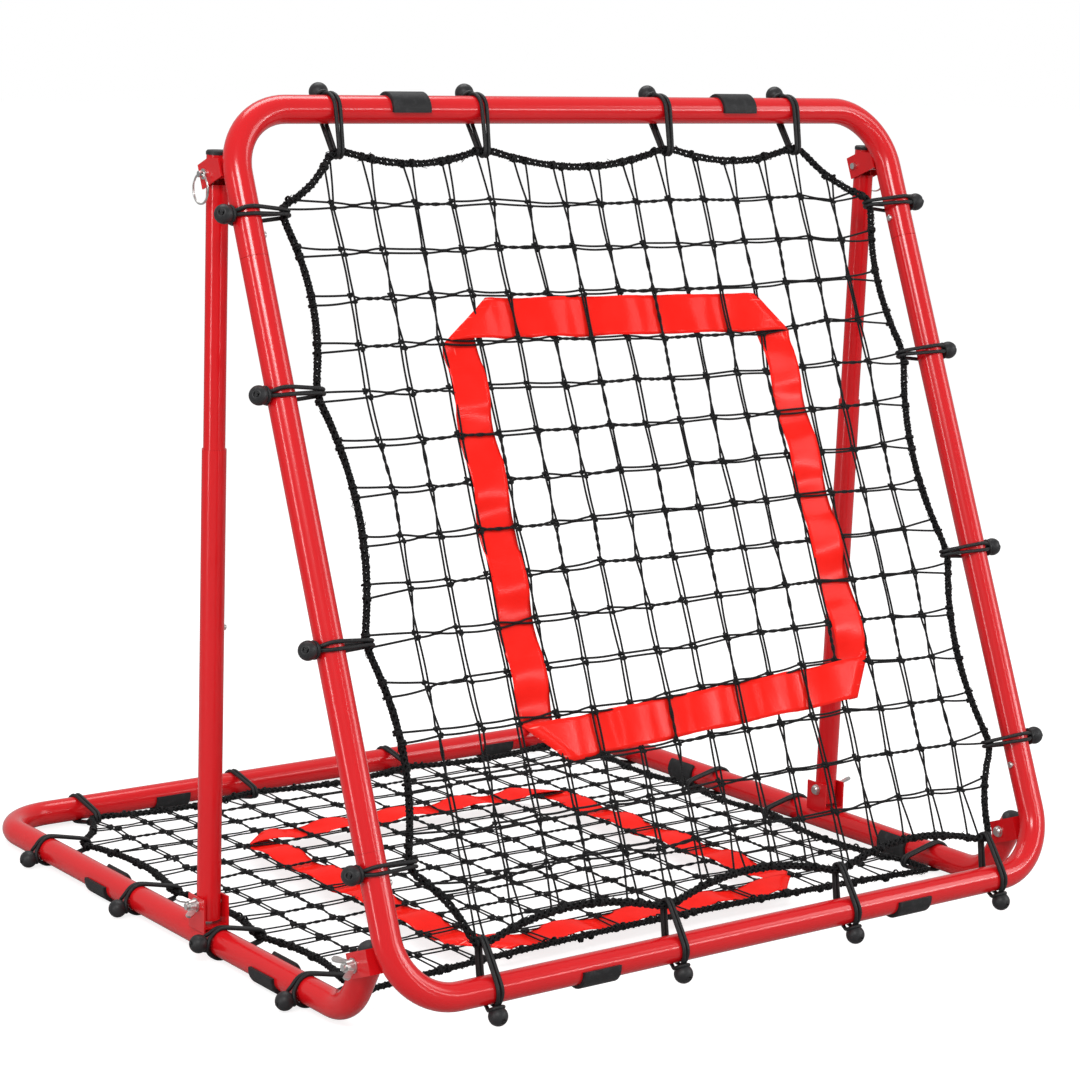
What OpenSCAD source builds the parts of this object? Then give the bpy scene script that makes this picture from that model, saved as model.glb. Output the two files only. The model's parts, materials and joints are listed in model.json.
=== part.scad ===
// Pitch-back rebounder: a leaning upright net frame hinged to a flat base net frame,
// propped by two telescopic posts. Millimetres, +Z up, front is -Y, the floor is z = 0.

/* [Frame] */
// Width of the frame between the axes of its side tubes
frame_w = 956; // [930:1:980]
// Length of the upright frame between its bottom and top tube axes
frame_h = 988; // [970:1:1010]
// Depth of the base from the upright's bottom tube axis to the rear tube axis
base_d = 985; // [965:1:1005]
// Radius of the corner bends on the tube axis
corner_r = 75; // [60:1:85]
// Outside diameter of the frame tubes
tube_d = 32; // [31:0.5:33]
// Wall thickness of every tube
tube_wall = 1.2; // [1:0.1:1.5]
// Lean of the upright frame back from the vertical
lean = 21.5; // [20:0.5:23]
// Height of the upright's bottom tube axis above the floor
bottom_z = 53; // [50:0.5:56]

/* [Hinge] */
// Distance of the hinge pivot up the upright from its bottom tube axis
hinge_s = 54; // [50:0.5:58]
// Distance of the hinge pivot behind the upright's tube axis
hinge_off = 45; // [43:0.5:48]
// Rise of the base's upturned front ends above the horizontal
upturn = 60; // [55:1:65]
// Bend radius of the upturned front ends on the tube axis
upturn_r = 60; // [55:1:65]

/* [Posts] */
// Outside diameter of the lower post tubes
post_lower_d = 28; // [27.6:0.1:28.2]
// Outside diameter of the upper post tubes
post_upper_d = 25; // [24.6:0.1:25.2]
// Length of the lower post tube above its foot bolt
post_lower_len = 535; // [500:1:550]
// Distance of the post's foot bolt behind the upright's bottom tube axis
foot_y = 407; // [400:1:415]
// Height of the post's snap button above the foot bolt
post_button_z = 328; // [320:1:340]
// Distance of the top pin below the upright's top tube axis
pin_drop = 59; // [56:1:63]
// Distance of the top pin behind the upright's tube axis
pin_off = 43; // [42:0.5:44]

/* [Fasteners] */
// Diameter of the bolts and top pins
bolt_d = 8; // [7.5:0.5:8]
// Outside diameter of the split rings on the top pins
ring_d = 35; // [32:1:38]
// Diameter of the snap buttons
button_d = 7.8; // [7:0.1:8]

/* [Nets] */
// Mesh pitch of both nets
mesh = 57; // [57:1:64]
// Width of a doubled mesh cord pair
cord_w = 4; // [3:0.5:5]
// Diameter of the braided border rope
rope_d = 9; // [8:0.5:10]
// Width of the woven target tapes
tape_w = 48; // [40:1:55]

/* [Bungees] */
// Diameter of the bungee balls
ball_d = 22; // [20:1:28]
// Thickness of the bungee cord round a tube
bungee_t = 2; // [1.6:0.1:2]
// Width of one bungee cord strand
bungee_w = 4; // [2.6:0.1:4.4]

/* [Pads] */
// Length of a rubber pad along its tube
pad_l = 51; // [40:1:70]
// Thickness of a rubber pad
pad_t = 4.5; // [4.5:0.1:5]

/* [Hidden] */
$fn = 64;
e = 0.01;
lap = 1.5;
hw = frame_w / 2;
tr = tube_d / 2;
ti = tr - tube_wall;
fit = 0.05;
near = 0.3;
rest_cut = 0.5;
rail_z = tr + pad_t - rest_cut;

pin_s = frame_h - pin_drop;

// positions of the bungees along each tube, from the frame's bottom or front tube axis
up_left_s = [146, 387, frame_h - 322, frame_h - 120];
up_right_s = [163, 407, frame_h - 322, frame_h - 124];
up_bottom_x = [116 - hw, -108, 151, hw - 87];
up_top_x = [132 - hw, -148, 122, hw - 152];
base_left_y = [186, 378, base_d - 405, base_d - 160];
base_right_y = [190, 465, base_d - 351, base_d - 149];
base_rear_x = [120 - hw, -116, 137, hw - 90];
// distance of the border rope from the tube it is tied to
up_side_gap = 46;
up_end_gap = 49;
base_side_gap = 50;
base_rear_gap = 55;
base_front_x = hw - base_side_gap;
base_front_y = 148;
sag = 0.085;
// length of rope that lies straight in a tie, shortest span that sags, and span that sags half as deep
tie_w = 17;
short_span = 60;
long_span = 740;

ball_out = tr + 2.9 + ball_d / 2;
up_ball_turn = 8;
top_ball_turn = -30;
base_ball_turn = 15;
base_left_turn = [base_ball_turn, -8, base_ball_turn, base_ball_turn];

// frame tube joints
swage_in = ti - 2 * fit - tube_wall;
leaf_gap = 0.9;
seam_low = 166;
seam_high = frame_h - 169;
seam_gap = 0.4;
swage_l = 55;
up_button_s = [132, frame_h - 143];
rear_seam = 150;
collar = 4;

// brackets of folded sheet, their webs sunk a little onto the round tubes
sheet = 2;
weld = 0.8;
hinge_in = tr + 0.5;
hinge_len = 28;
hinge_deep = 12;
post_in = post_lower_d / 2 + 0.5;
top_len = 28;
top_deep = 11;
top_cheek = 6.6;
top_level = top_len / 2 * cos(lean) + (pin_off - tr + top_cheek) * sin(lean) - 7;
foot_len = 37;
foot_top = 10;
foot_low = rail_z + 11;
foot_z = 61;
post_foot = 18.5;

// hinge pivot, top pin and foot bolt, measured back from the upright's bottom tube axis
function up_y(s, off) = s * sin(lean) + off * cos(lean);
function up_z(s, off) = bottom_z + s * cos(lean) - off * sin(lean);
hinge_y = up_y(hinge_s, hinge_off);
hinge_z = up_z(hinge_s, hinge_off);
pin_y = up_y(pin_s, pin_off);
pin_z = up_z(pin_s, pin_off);
post_len = sqrt(pow(pin_y - foot_y, 2) + pow(pin_z - foot_z, 2));
post_tilt = atan2(foot_y - pin_y, pin_z - foot_z);
upper_low = 300;
upper_top = post_len + 21;

// upturned base ends
plug_gap = 15;
rise_t = (hinge_z - rail_z) / sin(upturn);
bend_t = upturn_r * tan(upturn / 2);
rail_y0 = hinge_y + rise_t * cos(upturn) + bend_t;

// whole part is centred front to back on its own bounding box
front_y = -ball_out * (cos(up_ball_turn) * sin(lean) + sin(up_ball_turn) * cos(lean)) - ball_d / 2;
back_y = base_d + ball_out * cos(base_ball_turn) + ball_d / 2;
shift_y = -(front_y + back_y) / 2;

// placing: shared frames of the upright, the base and the two sides
module at_up() {
  translate([0, shift_y, bottom_z]) rotate([-lean, 0, 0]) children();
}
module at_base() {
  translate([0, shift_y, 0]) children();
}
module at_post() {
  translate([0, shift_y + foot_y, foot_z]) rotate([post_tilt, 0, 0]) children();
}
module right_side() {
  mirror([1, 0, 0]) children();
}
module both() {
  children();
  right_side() children();
}

// bars along X at the left side tube: from x = hw - a outwards
module x_rod(r, a, b) {
  translate([a, 0, 0]) rotate([0, 90, 0]) cylinder(r = r, h = b - a);
}

// ---------- tubes ----------
module arc(bend, r, turn) {
  rotate_extrude(angle = turn) translate([bend, 0]) circle(r = r);
}

// one corner and its two half legs, in the XZ plane, corner at the top left
module up_corner(r, leg) {
  translate([-hw, 0, leg]) cylinder(r = r, h = frame_h - corner_r - leg);
  translate([-hw + corner_r, 0, frame_h - corner_r]) rotate([90, 0, 0]) rotate([0, 0, 90])
    arc(corner_r, r, 90);
}
module top_bow_path(r, leg) {
  both() up_corner(r, leg);
  translate([0, 0, frame_h]) x_rod(r, -hw + corner_r, hw - corner_r);
}
module bottom_bow_path(r, leg) {
  translate([0, 0, frame_h]) mirror([0, 0, 1]) top_bow_path(r, frame_h - leg);
}
module up_button_hole(s) {
  translate([-hw, 0, s]) x_rod(button_d / 2 + fit, 0, tr + 1);
}

module upright_top_bow() {
  color("red") at_up() difference() {
    top_bow_path(tr, seam_high);
    translate([0, 0, -e]) top_bow_path(ti, seam_high);
    both() up_button_hole(up_button_s[1]);
  }
}
module upright_bottom_bow() {
  color("red") at_up() difference() {
    bottom_bow_path(tr, seam_low);
    bottom_bow_path(ti, seam_low + e);
    both() up_button_hole(up_button_s[0]);
  }
}
// side tube with swaged ends that plug into the bows
module side_tube() {
  difference() {
    union() {
      translate([-hw, 0, seam_low + seam_gap]) cylinder(r = tr, h = seam_high - seam_low - 2 * seam_gap);
      translate([-hw, 0, seam_low - swage_l])
        cylinder(r = ti - 2 * fit, h = seam_high - seam_low + 2 * swage_l);
    }
    translate([-hw, 0, seam_low + collar]) cylinder(r = ti, h = seam_high - seam_low - 2 * collar);
    translate([-hw, 0, 0]) cylinder(r = ti - 2 * fit - tube_wall, h = frame_h);
    for (s = up_button_s) up_button_hole(s);
  }
}
module upright_side_left() {
  color("red") at_up() side_tube();
}
module upright_side_right() {
  color("red") at_up() right_side() side_tube();
}

// rail from the upturned front end to the rear joint
module rail_path(r, extra) {
  translate([-hw, 0, rail_z]) {
    // bend drawn about its own centre: the rail meets it at one end, the upturned end at the other
    translate([0, rail_y0, upturn_r]) rotate([90, 0, 90]) mirror([1, 0, 0]) rotate([0, 0, -90]) {
      arc(upturn_r, r, upturn);
      rotate([0, 0, upturn]) translate([upturn_r, e, 0]) rotate([-90, 0, 0])
        cylinder(r = r, h = rise_t - bend_t + plug_gap + extra - e);
      rotate([0, 0, upturn]) translate([upturn_r, -lap, 0]) rotate([-90, 0, 0])
        cylinder(r = r - fit, h = 2 * lap);
    }
    translate([0, rail_y0, 0]) rotate([-90, 0, 0]) cylinder(r = r, h = base_d - corner_r - rail_y0);
    translate([corner_r, base_d - corner_r, 0]) rotate([0, 0, 90]) arc(corner_r, r, 90);
    translate([0, base_d, 0]) x_rod(r, corner_r, hw - rear_seam + extra);
  }
}
module rail() {
  difference() {
    rail_path(tr, 0);
    rail_path(ti, e);
    translate([-hw, hinge_y, hinge_z]) x_rod(bolt_d / 2 + fit, -tr - 1, tr + 1);
  }
}
module base_left_rail() {
  color("red") at_base() rail();
}
module base_right_rail() {
  color("red") at_base() right_side() rail();
}
module base_rear_tube() {
  color("red") at_base() translate([0, base_d, rail_z]) difference() {
    union() {
      x_rod(tr, -rear_seam + seam_gap, rear_seam - seam_gap);
      x_rod(ti - 2 * fit, -rear_seam - swage_l, rear_seam + swage_l);
    }
    x_rod(ti, -rear_seam + collar, rear_seam - collar);
    x_rod(ti - 2 * fit - tube_wall, -rear_seam - swage_l - 1, rear_seam + swage_l + 1);
  }
}

// domed plug in an upturned end
module end_plug() {
  translate([-hw, hinge_y, hinge_z]) rotate([90 - upturn, 0, 0]) {
    translate([0, 0, plug_gap]) difference() {
      union() {
        cylinder(r = tr, h = 1.5);
        translate([0, 0, -8]) difference() {
          cylinder(r = ti - 2 * fit, h = 8 + e);
          translate([0, 0, -1]) cylinder(r = ti - 2.5, h = 7.5);
          translate([-tr, 0, 8 - plug_gap]) rotate([0, 90, 0]) cylinder(r = bolt_d / 2 + 1, h = 2 * tr);
        }
        translate([0, 0, 1.5]) rotate_extrude()
          polygon([[0, 0], [tr, 0], [tr - 2, 3.6], [tr - 6, 6], [tr - 11, 7.3], [0, 7.5]]);
      }
    }
  }
}
module end_plug_left() {
  color("black") at_base() end_plug();
}
module end_plug_right() {
  color("black") at_base() right_side() end_plug();
}

// ---------- brackets ----------
// channel of folded sheet: web across X, two flanges reaching to +Y, length along Z
module channel(inner, y_web, y_end, z0, len, bolt_y, bolt_z) {
  difference() {
    translate([-inner - sheet, y_web, z0]) cube([2 * (inner + sheet), y_end - y_web, len]);
    translate([-inner, y_web + sheet, z0 - 1]) cube([2 * inner, y_end - y_web, len + 2]);
    translate([0, bolt_y, bolt_z]) x_rod(bolt_d / 2 + fit, -inner - sheet - 1, inner + sheet + 1);
  }
}
module hinge_bracket() {
  difference() {
    translate([-hw, 0, 0])
      channel(hinge_in, tr - weld, hinge_off + hinge_deep, hinge_s - hinge_len / 2, hinge_len,
        hinge_off, hinge_s);
    bottom_bow_path(tr, seam_low);
  }
}
module hinge_bracket_left() {
  color("red") at_up() hinge_bracket();
}
module hinge_bracket_right() {
  color("red") at_up() right_side() hinge_bracket();
}
module top_bracket() {
  difference() {
    translate([-hw, 0, 0]) {
      channel(post_in, tr - weld, pin_off + top_deep, pin_s - top_len / 2, top_len, pin_off, pin_s);
      // cheeks that run on past the web and are welded to the tube's flanks
      for (m = [0, 1]) mirror([m, 0, 0]) translate([post_in, tr - weld - top_cheek, pin_s - top_len / 2])
        cube([sheet, top_cheek + 1, top_len]);
    }
    top_bow_path(tr, seam_high);
    // level top corner
    translate([-hw, pin_off, pin_s]) rotate([lean, 0, 0])
      translate([-tube_d, -tube_d - pin_off, top_level]) cube([2 * tube_d, 2 * (tube_d + pin_off), top_len]);
  }
}
module top_bracket_left() {
  color("red") at_up() top_bracket();
}
module top_bracket_right() {
  color("red") at_up() right_side() top_bracket();
}
module foot_bracket() {
  difference() {
    translate([-hw, foot_y, 0]) rotate([90, 0, 0])
      channel(post_in, rail_z + tr - weld, foot_z + foot_top, -foot_len / 2, foot_len, foot_z, 0);
    translate([-hw, 0, rail_z]) rotate([-90, 0, 0]) cylinder(r = tr, h = base_d);
  }
  // skirts that reach down both sides of the rail
  for (m = [0, 1]) translate([-hw, foot_y - foot_len / 2, 0]) mirror([m, 0, 0])
    translate([post_in, 0, foot_low]) cube([sheet, foot_len, rail_z + tr - weld - foot_low + 1]);
}
module foot_bracket_left() {
  color("red") at_base() foot_bracket();
}
module foot_bracket_right() {
  color("red") at_base() right_side() foot_bracket();
}

// ---------- posts ----------
module post_button_hole(r, a, b) {
  translate([0, 0, post_button_z]) x_rod(r, a, b);
}
module post_lower() {
  difference() {
    translate([0, 0, -post_foot]) cylinder(d = post_lower_d, h = post_foot + post_lower_len);
    translate([0, 0, -post_foot - 1])
      cylinder(r = post_lower_d / 2 - tube_wall, h = post_foot + post_lower_len + 2);
    x_rod(bolt_d / 2 + fit, -post_lower_d, post_lower_d);
    post_button_hole(button_d / 2 + fit, 0, post_lower_d);
  }
}
module post_upper() {
  difference() {
    translate([0, 0, upper_low]) cylinder(d = post_upper_d, h = upper_top - upper_low);
    translate([0, 0, upper_low - 1])
      cylinder(r = post_upper_d / 2 - tube_wall, h = upper_top - upper_low + 2);
    translate([0, 0, post_len]) x_rod(bolt_d / 2 + fit, -post_upper_d, post_upper_d);
    translate([-post_upper_d, -post_upper_d, post_len - 11.5]) cube([2 * post_upper_d, post_upper_d, 16]);
    post_button_hole(5.5, 0, post_upper_d);
  }
}
module post_cap() {
  translate([0, 0, upper_top]) {
    rotate_extrude() polygon([[0, 0], [post_upper_d / 2 + 0.6, 0], [post_upper_d / 2 + 0.6, 3.4],
      [post_upper_d / 2 - 1, 5], [0, 5]]);
    translate([0, 0, -8]) difference() {
      cylinder(r = post_upper_d / 2 - tube_wall - 2 * fit, h = 8 + e);
      translate([0, 0, -1]) cylinder(r = post_upper_d / 2 - tube_wall - 2.5, h = 7.5);
    }
  }
}
module at_post_left() {
  at_post() translate([-hw, 0, 0]) children();
}
module at_post_right() {
  right_side() at_post_left() children();
}
module post_lower_left() {
  color("red") at_post_left() post_lower();
}
module post_lower_right() {
  color("red") at_post_right() post_lower();
}
module post_upper_left() {
  color("red") at_post_left() post_upper();
}
module post_upper_right() {
  color("red") at_post_right() post_upper();
}
module post_cap_left() {
  color("black") at_post_left() post_cap();
}
module post_cap_right() {
  color("black") at_post_right() post_cap();
}

// ---------- snap buttons ----------
// spring button along +X, its shoulder inside the wall at x = seat, tip at x = tip
module button(seat, tip) {
  x_rod(button_d / 2, seat, tip - 1);
  translate([tip - 1, 0, 0]) rotate([0, 90, 0]) cylinder(r1 = button_d / 2, r2 = button_d / 2 - 1.2, h = 1);
}
module up_button(s) {
  translate([-hw, 0, s]) {
    button(swage_in - 1.4, tr + 3.5);
    x_rod(button_d / 2 + 1.2, swage_in - 2.6, swage_in - 1.3);
  }
}
module up_button_top_left() {
  color("silver") at_up() up_button(up_button_s[1]);
}
module up_button_top_right() {
  color("silver") at_up() right_side() up_button(up_button_s[1]);
}
module up_button_low_left() {
  color("silver") at_up() up_button(up_button_s[0]);
}
module up_button_low_right() {
  color("silver") at_up() right_side() up_button(up_button_s[0]);
}
module post_button() {
  translate([0, 0, post_button_z]) button(post_upper_d / 2 + 0.2, post_lower_d / 2 + 3.5);
}
module post_button_left() {
  color("silver") at_post_left() post_button();
}
module post_button_right() {
  color("silver") at_post_right() post_button();
}
// folded leaf spring below a button, in the XZ plane, between walls at -r and +r
leaf_w = 8;
leaf_t = 0.6;
leaf_l = 37.8;
module leaf(r) {
  rotate([90, 0, 0]) translate([0, 0, -leaf_w / 2]) linear_extrude(leaf_w)
    polygon([[-r, -4], [-r + leaf_t, -4], [-1.4, 1.8 - leaf_l], [-0.6, leaf_t - leaf_l],
      [0.6, leaf_t - leaf_l], [1.4, 1.8 - leaf_l], [r - leaf_t, -7], [r, -7],
      [2, 1.2 - leaf_l], [0.8, -leaf_l], [-0.8, -leaf_l], [-2, 1.2 - leaf_l]]);
}
module leaf_up(s) {
  translate([-hw, 0, s]) leaf(swage_in - leaf_gap);
}
module upright_springs() {
  color("silver") at_up() both() for (s = up_button_s) leaf_up(s);
}
module post_spring() {
  translate([0, 0, post_button_z]) leaf(post_upper_d / 2 - tube_wall - leaf_gap);
}
module post_spring_left() {
  color("silver") at_post_left() post_spring();
}
module post_spring_right() {
  color("silver") at_post_right() post_spring();
}

// ---------- bolts, washers, wing nuts ----------
washer_t = 1.6;
washer_play = 0.1;
nut_boss = 9;
// bolt along X at the left side: head on the inner side, thread end outboard
module bolt(inner) {
  x_rod(bolt_d / 2, -inner - sheet - washer_t - nut_boss - 3.5, inner + sheet + 1);
  translate([inner + sheet, 0, 0]) rotate([0, 90, 0]) cylinder(r = 7.2, h = 1.2);
  translate([inner + sheet + 1.1, 0, 0]) rotate([0, 90, 0]) rotate_extrude()
    polygon([[0, 0], [6.6, 0], [6.2, 2.6], [4.6, 4.4], [0, 5]]);
}
module washer(inner) {
  translate([-inner - sheet - washer_t, 0, 0]) difference() {
    x_rod(8.4, 0, washer_t - washer_play);
    x_rod(bolt_d / 2 + fit, -1, washer_t + 1);
  }
}
module wing_nut(inner) {
  translate([-inner - sheet - washer_t, 0, 0]) rotate([0, -90, 0]) difference() {
    union() {
      cylinder(r1 = 7.4, r2 = 6.2, h = nut_boss);
      translate([0, 1.4, 0]) rotate([90, 0, 0]) linear_extrude(2.8)
        polygon([[-6, 1], [6, 1], [9, 3], [15.5, 10], [17, 14], [15.5, 17.5], [12, 18], [9.5, 15],
          [6, nut_boss - 1], [-6, nut_boss - 1], [-9.5, 15], [-12, 18],
          [-15.5, 17.5], [-17, 14], [-15.5, 10], [-9, 3]]);
    }
    translate([0, 0, -1]) cylinder(r = bolt_d / 2 + fit, h = 30);
  }
}
module at_hinge() {
  at_base() translate([-hw, hinge_y, hinge_z]) rotate([-lean, 0, 0]) children();
}
module at_foot() {
  at_base() translate([-hw, foot_y, foot_z]) children();
}
module hinge_bolts() {
  color("silver") both() at_hinge() bolt(hinge_in);
}
module foot_bolts() {
  color("silver") both() at_foot() bolt(post_in);
}
module washers() {
  color("silver") both() {
    at_hinge() washer(hinge_in);
    at_foot() washer(post_in);
  }
}
module wing_nut_hinge_left() {
  color("silver") at_hinge() rotate([-38, 0, 0]) wing_nut(hinge_in);
}
module wing_nut_hinge_right() {
  color("silver") right_side() at_hinge() rotate([25, 0, 0]) wing_nut(hinge_in);
}
module wing_nut_foot_left() {
  color("silver") at_foot() rotate([-60, 0, 0]) wing_nut(post_in);
}
module wing_nut_foot_right() {
  color("silver") right_side() at_foot() rotate([40, 0, 0]) wing_nut(post_in);
}

// ---------- top pins and split rings ----------
pin_head = 2;
pin_neck = 5.6;
ring_in = 2.8;
ring_wire = 2.4;
ring_hole = ring_wire / 2 + 0.7;
module top_pin() {
  translate([-hw, pin_off, pin_s]) difference() {
    union() {
      x_rod(bolt_d / 2, -post_in - sheet - pin_head, post_in + sheet + 4);
      x_rod(6, -post_in - sheet - pin_head, -post_in - sheet);
      x_rod(3.6, -post_in - sheet - pin_head - pin_neck, -post_in - sheet - pin_head + e);
    }
    translate([-post_in - sheet - pin_head - pin_neck + ring_in, 0, 0]) rotate([90 + lean, 0, 0])
      translate([0, 0, -10]) cylinder(r = ring_hole, h = 20);
  }
}
module split_ring() {
  translate([-hw - post_in - sheet - pin_head - pin_neck + ring_in, pin_off, pin_s]) rotate([lean, 0, 0])
    translate([0, 0, -ring_d / 2 + ring_wire / 2]) rotate([0, 90, 0])
      rotate_extrude() translate([ring_d / 2 - ring_wire / 2, 0]) circle(r = ring_wire / 2);
}
module top_pin_left() {
  color("silver") at_up() top_pin();
}
module top_pin_right() {
  color("silver") at_up() right_side() top_pin();
}
module split_ring_left() {
  color("silver") at_up() split_ring();
}
module split_ring_right() {
  color("silver") at_up() right_side() split_ring();
}

// ---------- rubber pads ----------
// C-shaped sleeve along X, its mouth open towards +Z
module pad(more = 0) {
  translate([-pad_l / 2, 0, 0]) rotate([0, 90, 0]) rotate([0, 0, -98])
    rotate_extrude(angle = 196 + more) polygon([[tr + fit, 0], [tr + pad_t - 1, 0], [tr + pad_t, 1],
      [tr + pad_t, pad_l - 1], [tr + pad_t - 1, pad_l], [tr + fit, pad_l]]);
}
module base_pad(more = 0) {
  difference() {
    pad(more);
    translate([-pad_l, -tube_d, -rail_z - tube_d]) cube([2 * pad_l, 2 * tube_d, tube_d]);
  }
}
// degrees by which a rail's pad reaches further round on its inner side
pad_more = 40;
base_pad_y = [256, 660, 700];
base_pad_rear_x = [-220, 328];
up_pad_x = [-225, 243];
top_pad_x = [-247, 236];
module base_pads() {
  color("black") at_base() translate([0, 0, rail_z]) {
    for (y = [base_pad_y[0], base_pad_y[1]]) translate([-hw, y, 0]) rotate([0, 0, -90]) base_pad(pad_more);
    for (y = [base_pad_y[0], base_pad_y[2]]) translate([hw, y, 0]) rotate([0, 0, 90]) base_pad(pad_more);
    for (x = base_pad_rear_x) translate([x, base_d, 0]) base_pad();
  }
}
module upright_pads() {
  color("black") at_up() {
    for (x = up_pad_x) translate([x, 0, 0]) rotate([lean, 0, 0]) pad();
    for (x = top_pad_x) translate([x, 0, frame_h]) rotate([180 + lean, 0, 0]) pad();
  }
}

// ---------- border ropes, nets and target tapes ----------
function rev(v) = [for (i = [len(v) - 1:-1:0]) v[i]];
function inward(v) = [-v[1], v[0]] / norm(v);
steps = 4;
function sag_of(l) = l < short_span ? 0 : sag / (1 + pow(l / long_span, 4));
// the rope hangs in a shallow curve between its ties, and lies straight in each tie
function hung(p) = [for (i = [0:len(p) - 1]) let (a = p[i], b = p[(i + 1) % len(p)], d = b - a, l = norm(d))
  for (k = [0:l < short_span ? 0 : steps - 1]) let (t = k / steps)
    a + d * t + inward(d) * sag_of(l) * l * 4 * t * (1 - t)];
// mitred inward normal at each point of a closed path
function normals(p) = [for (i = [0:len(p) - 1])
  let (n = len(p), a = inward(p[i] - p[(i + n - 1) % n]), b = inward(p[(i + 1) % n] - p[i]))
    (a + b) / (1 + a * b)];
function inset(p, by) = p + normals(p) * by;

// tie points in order round each frame, and the rope's path with a straight length in each tie
function along_x(x, y, by) = [for (a = x) each [[a - by, y], [a + by, y]]];
function along_y(x, y, by) = [for (a = y) each [[x, a - by], [x, a + by]]];
function up_path(by) = concat(
  along_x(up_bottom_x, up_end_gap, by),
  along_y(hw - up_side_gap, up_right_s, by),
  rev(along_x(up_top_x, frame_h - up_end_gap, by)),
  rev(along_y(-hw + up_side_gap, up_left_s, by)));
function base_path(by) = concat(
  [[-base_front_x, base_front_y], [base_front_x, base_front_y]],
  along_y(hw - base_side_gap, base_right_y, by),
  rev(along_x(base_rear_x, base_d - base_rear_gap, by)),
  rev(along_y(-hw + base_side_gap, base_left_y, by)));
up_rope_path = hung(up_path(tie_w / 2));
base_rope_path = hung(base_path(tie_w / 2));
function every_other(v, first) = [for (i = [first:2:len(v) - 1]) v[i]];
up_knots = every_other(up_path(0), 0);
base_knots = every_other(base_path(0), 2);

sides = 6;
module rope(p) {
  n = len(p);
  m = normals(p);
  pts = [for (i = [0:n - 1]) for (k = [0:sides - 1])
    let (a = 360 * k / sides, q = p[i] + m[i] * cos(a) * rope_d / 2) [q[0], q[1], sin(a) * rope_d / 2]];
  faces = [for (i = [0:n - 1]) for (k = [0:sides - 1])
    let (a = i * sides + k, b = i * sides + (k + 1) % sides,
      c = ((i + 1) % n) * sides + (k + 1) % sides, d = ((i + 1) % n) * sides + k)
    each [[a, b, c], [a, c, d]]];
  polyhedron(pts, faces);
}
net_t = 2;
net_gap = rope_d / 2 + near;
band = 3.4;
notch_r = 9.3;
module net(p, ties, x0, y0, nx, ny) {
  translate([0, 0, -net_t / 2]) linear_extrude(net_t) difference() {
    polygon(inset(p, net_gap));
    // open meshes that the ties pass through
    for (t = ties) translate(t) circle(r = notch_r, $fn = 24);
    intersection() {
      polygon(inset(p, net_gap + band));
      for (i = [0:nx - 1]) for (j = [0:ny - 1])
        translate([x0 + i * mesh, y0 + j * mesh]) square(mesh - cord_w);
    }
  }
}
// target tape: a flat ring with clipped corners, its sides set in from the frame's tubes
tape_t = 0.6;
tape_cut = 54;
tape_side = 220;
up_tape_low = 230;
up_tape_top = 228;
base_tape_front = 184;
base_tape_rear = 235;
module tape_ring(hx, y0, y1) {
  translate([0, 0, net_t / 2 + near]) linear_extrude(tape_t) difference() {
    polygon([[-hx + tape_cut, y0], [hx - tape_cut, y0], [hx, y0 + tape_cut], [hx, y1 - tape_cut],
      [hx - tape_cut, y1], [-hx + tape_cut, y1], [-hx, y1 - tape_cut], [-hx, y0 + tape_cut]]);
    translate([-hx + tape_w, y0 + tape_w]) square([2 * (hx - tape_w), y1 - y0 - 2 * tape_w]);
  }
}
// upright soft parts are drawn in XY and stood up: Y becomes the slope, Z faces the front
module stand() {
  at_up() rotate([90, 0, 0]) children();
}
module lay() {
  at_base() translate([0, 0, rail_z]) children();
}
mesh_x0 = -8.5 * mesh + cord_w / 2;
module upright_rope() {
  color("black") stand() rope(up_rope_path);
}
module upright_net() {
  color("dimgray") stand() net(up_rope_path, up_knots, mesh_x0, 0.5 * mesh, 17, 16);
}
module upright_tape() {
  color("crimson") stand() tape_ring(hw - tape_side, up_tape_low, frame_h - up_tape_top);
}
module base_rope() {
  color("black") lay() rope(base_rope_path);
}
module base_net() {
  color("dimgray") lay() net(base_rope_path, base_knots, mesh_x0, 2.1 * mesh, 17, 15);
}
module base_tape() {
  color("crimson") lay() tape_ring(hw - tape_side, base_tape_front, base_d - base_tape_rear);
}

// ---------- bungees ----------
// loop round the tube at the origin and the rope at x = gap, two strands side by side along Z
loop_r1 = tr + near;
loop_r2 = rope_d / 2 + 1.7;
loop_n1 = 8;
loop_n2 = 4;
function loop_pts(gap, grow) = let (b = acos((loop_r1 - loop_r2) / gap),
    s1 = (360 - 2 * b) / loop_n1, s2 = 2 * b / loop_n2,
    q1 = (loop_r1 + grow) / cos(s1 / 2), q2 = (loop_r2 + grow) / cos(s2 / 2))
  concat([for (k = [0:loop_n1 - 1]) let (a = b + (k + 0.5) * s1) [q1 * cos(a), q1 * sin(a)]],
    [for (k = [0:loop_n2 - 1]) let (a = -b + (k + 0.5) * s2) [gap + q2 * cos(a), q2 * sin(a)]]);
module loop(gap) {
  for (z = [-bungee_w - 0.3, 0.3]) translate([0, 0, z]) linear_extrude(bungee_w) difference() {
    polygon(loop_pts(gap, bungee_t));
    polygon(loop_pts(gap, 0));
  }
}
module ball(turn) {
  rotate([0, 0, turn]) translate([-ball_out, 0, 0]) difference() {
    sphere(d = ball_d);
    rotate([0, -90, 0]) translate([0, 0, ball_d / 2 - 4]) cylinder(r = 3.4, h = 5);
  }
}
module up_places(side) {
  if (side) {
    for (s = up_left_s) translate([-hw, 0, s]) children();
    for (s = up_right_s) right_side() translate([-hw, 0, s]) children();
  } else {
    for (x = up_bottom_x) translate([x, 0, 0]) rotate([0, -90, 0]) children();
  }
}
module top_places() {
  for (x = up_top_x) translate([x, 0, frame_h]) rotate([0, 90, 0]) children();
}
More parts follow.
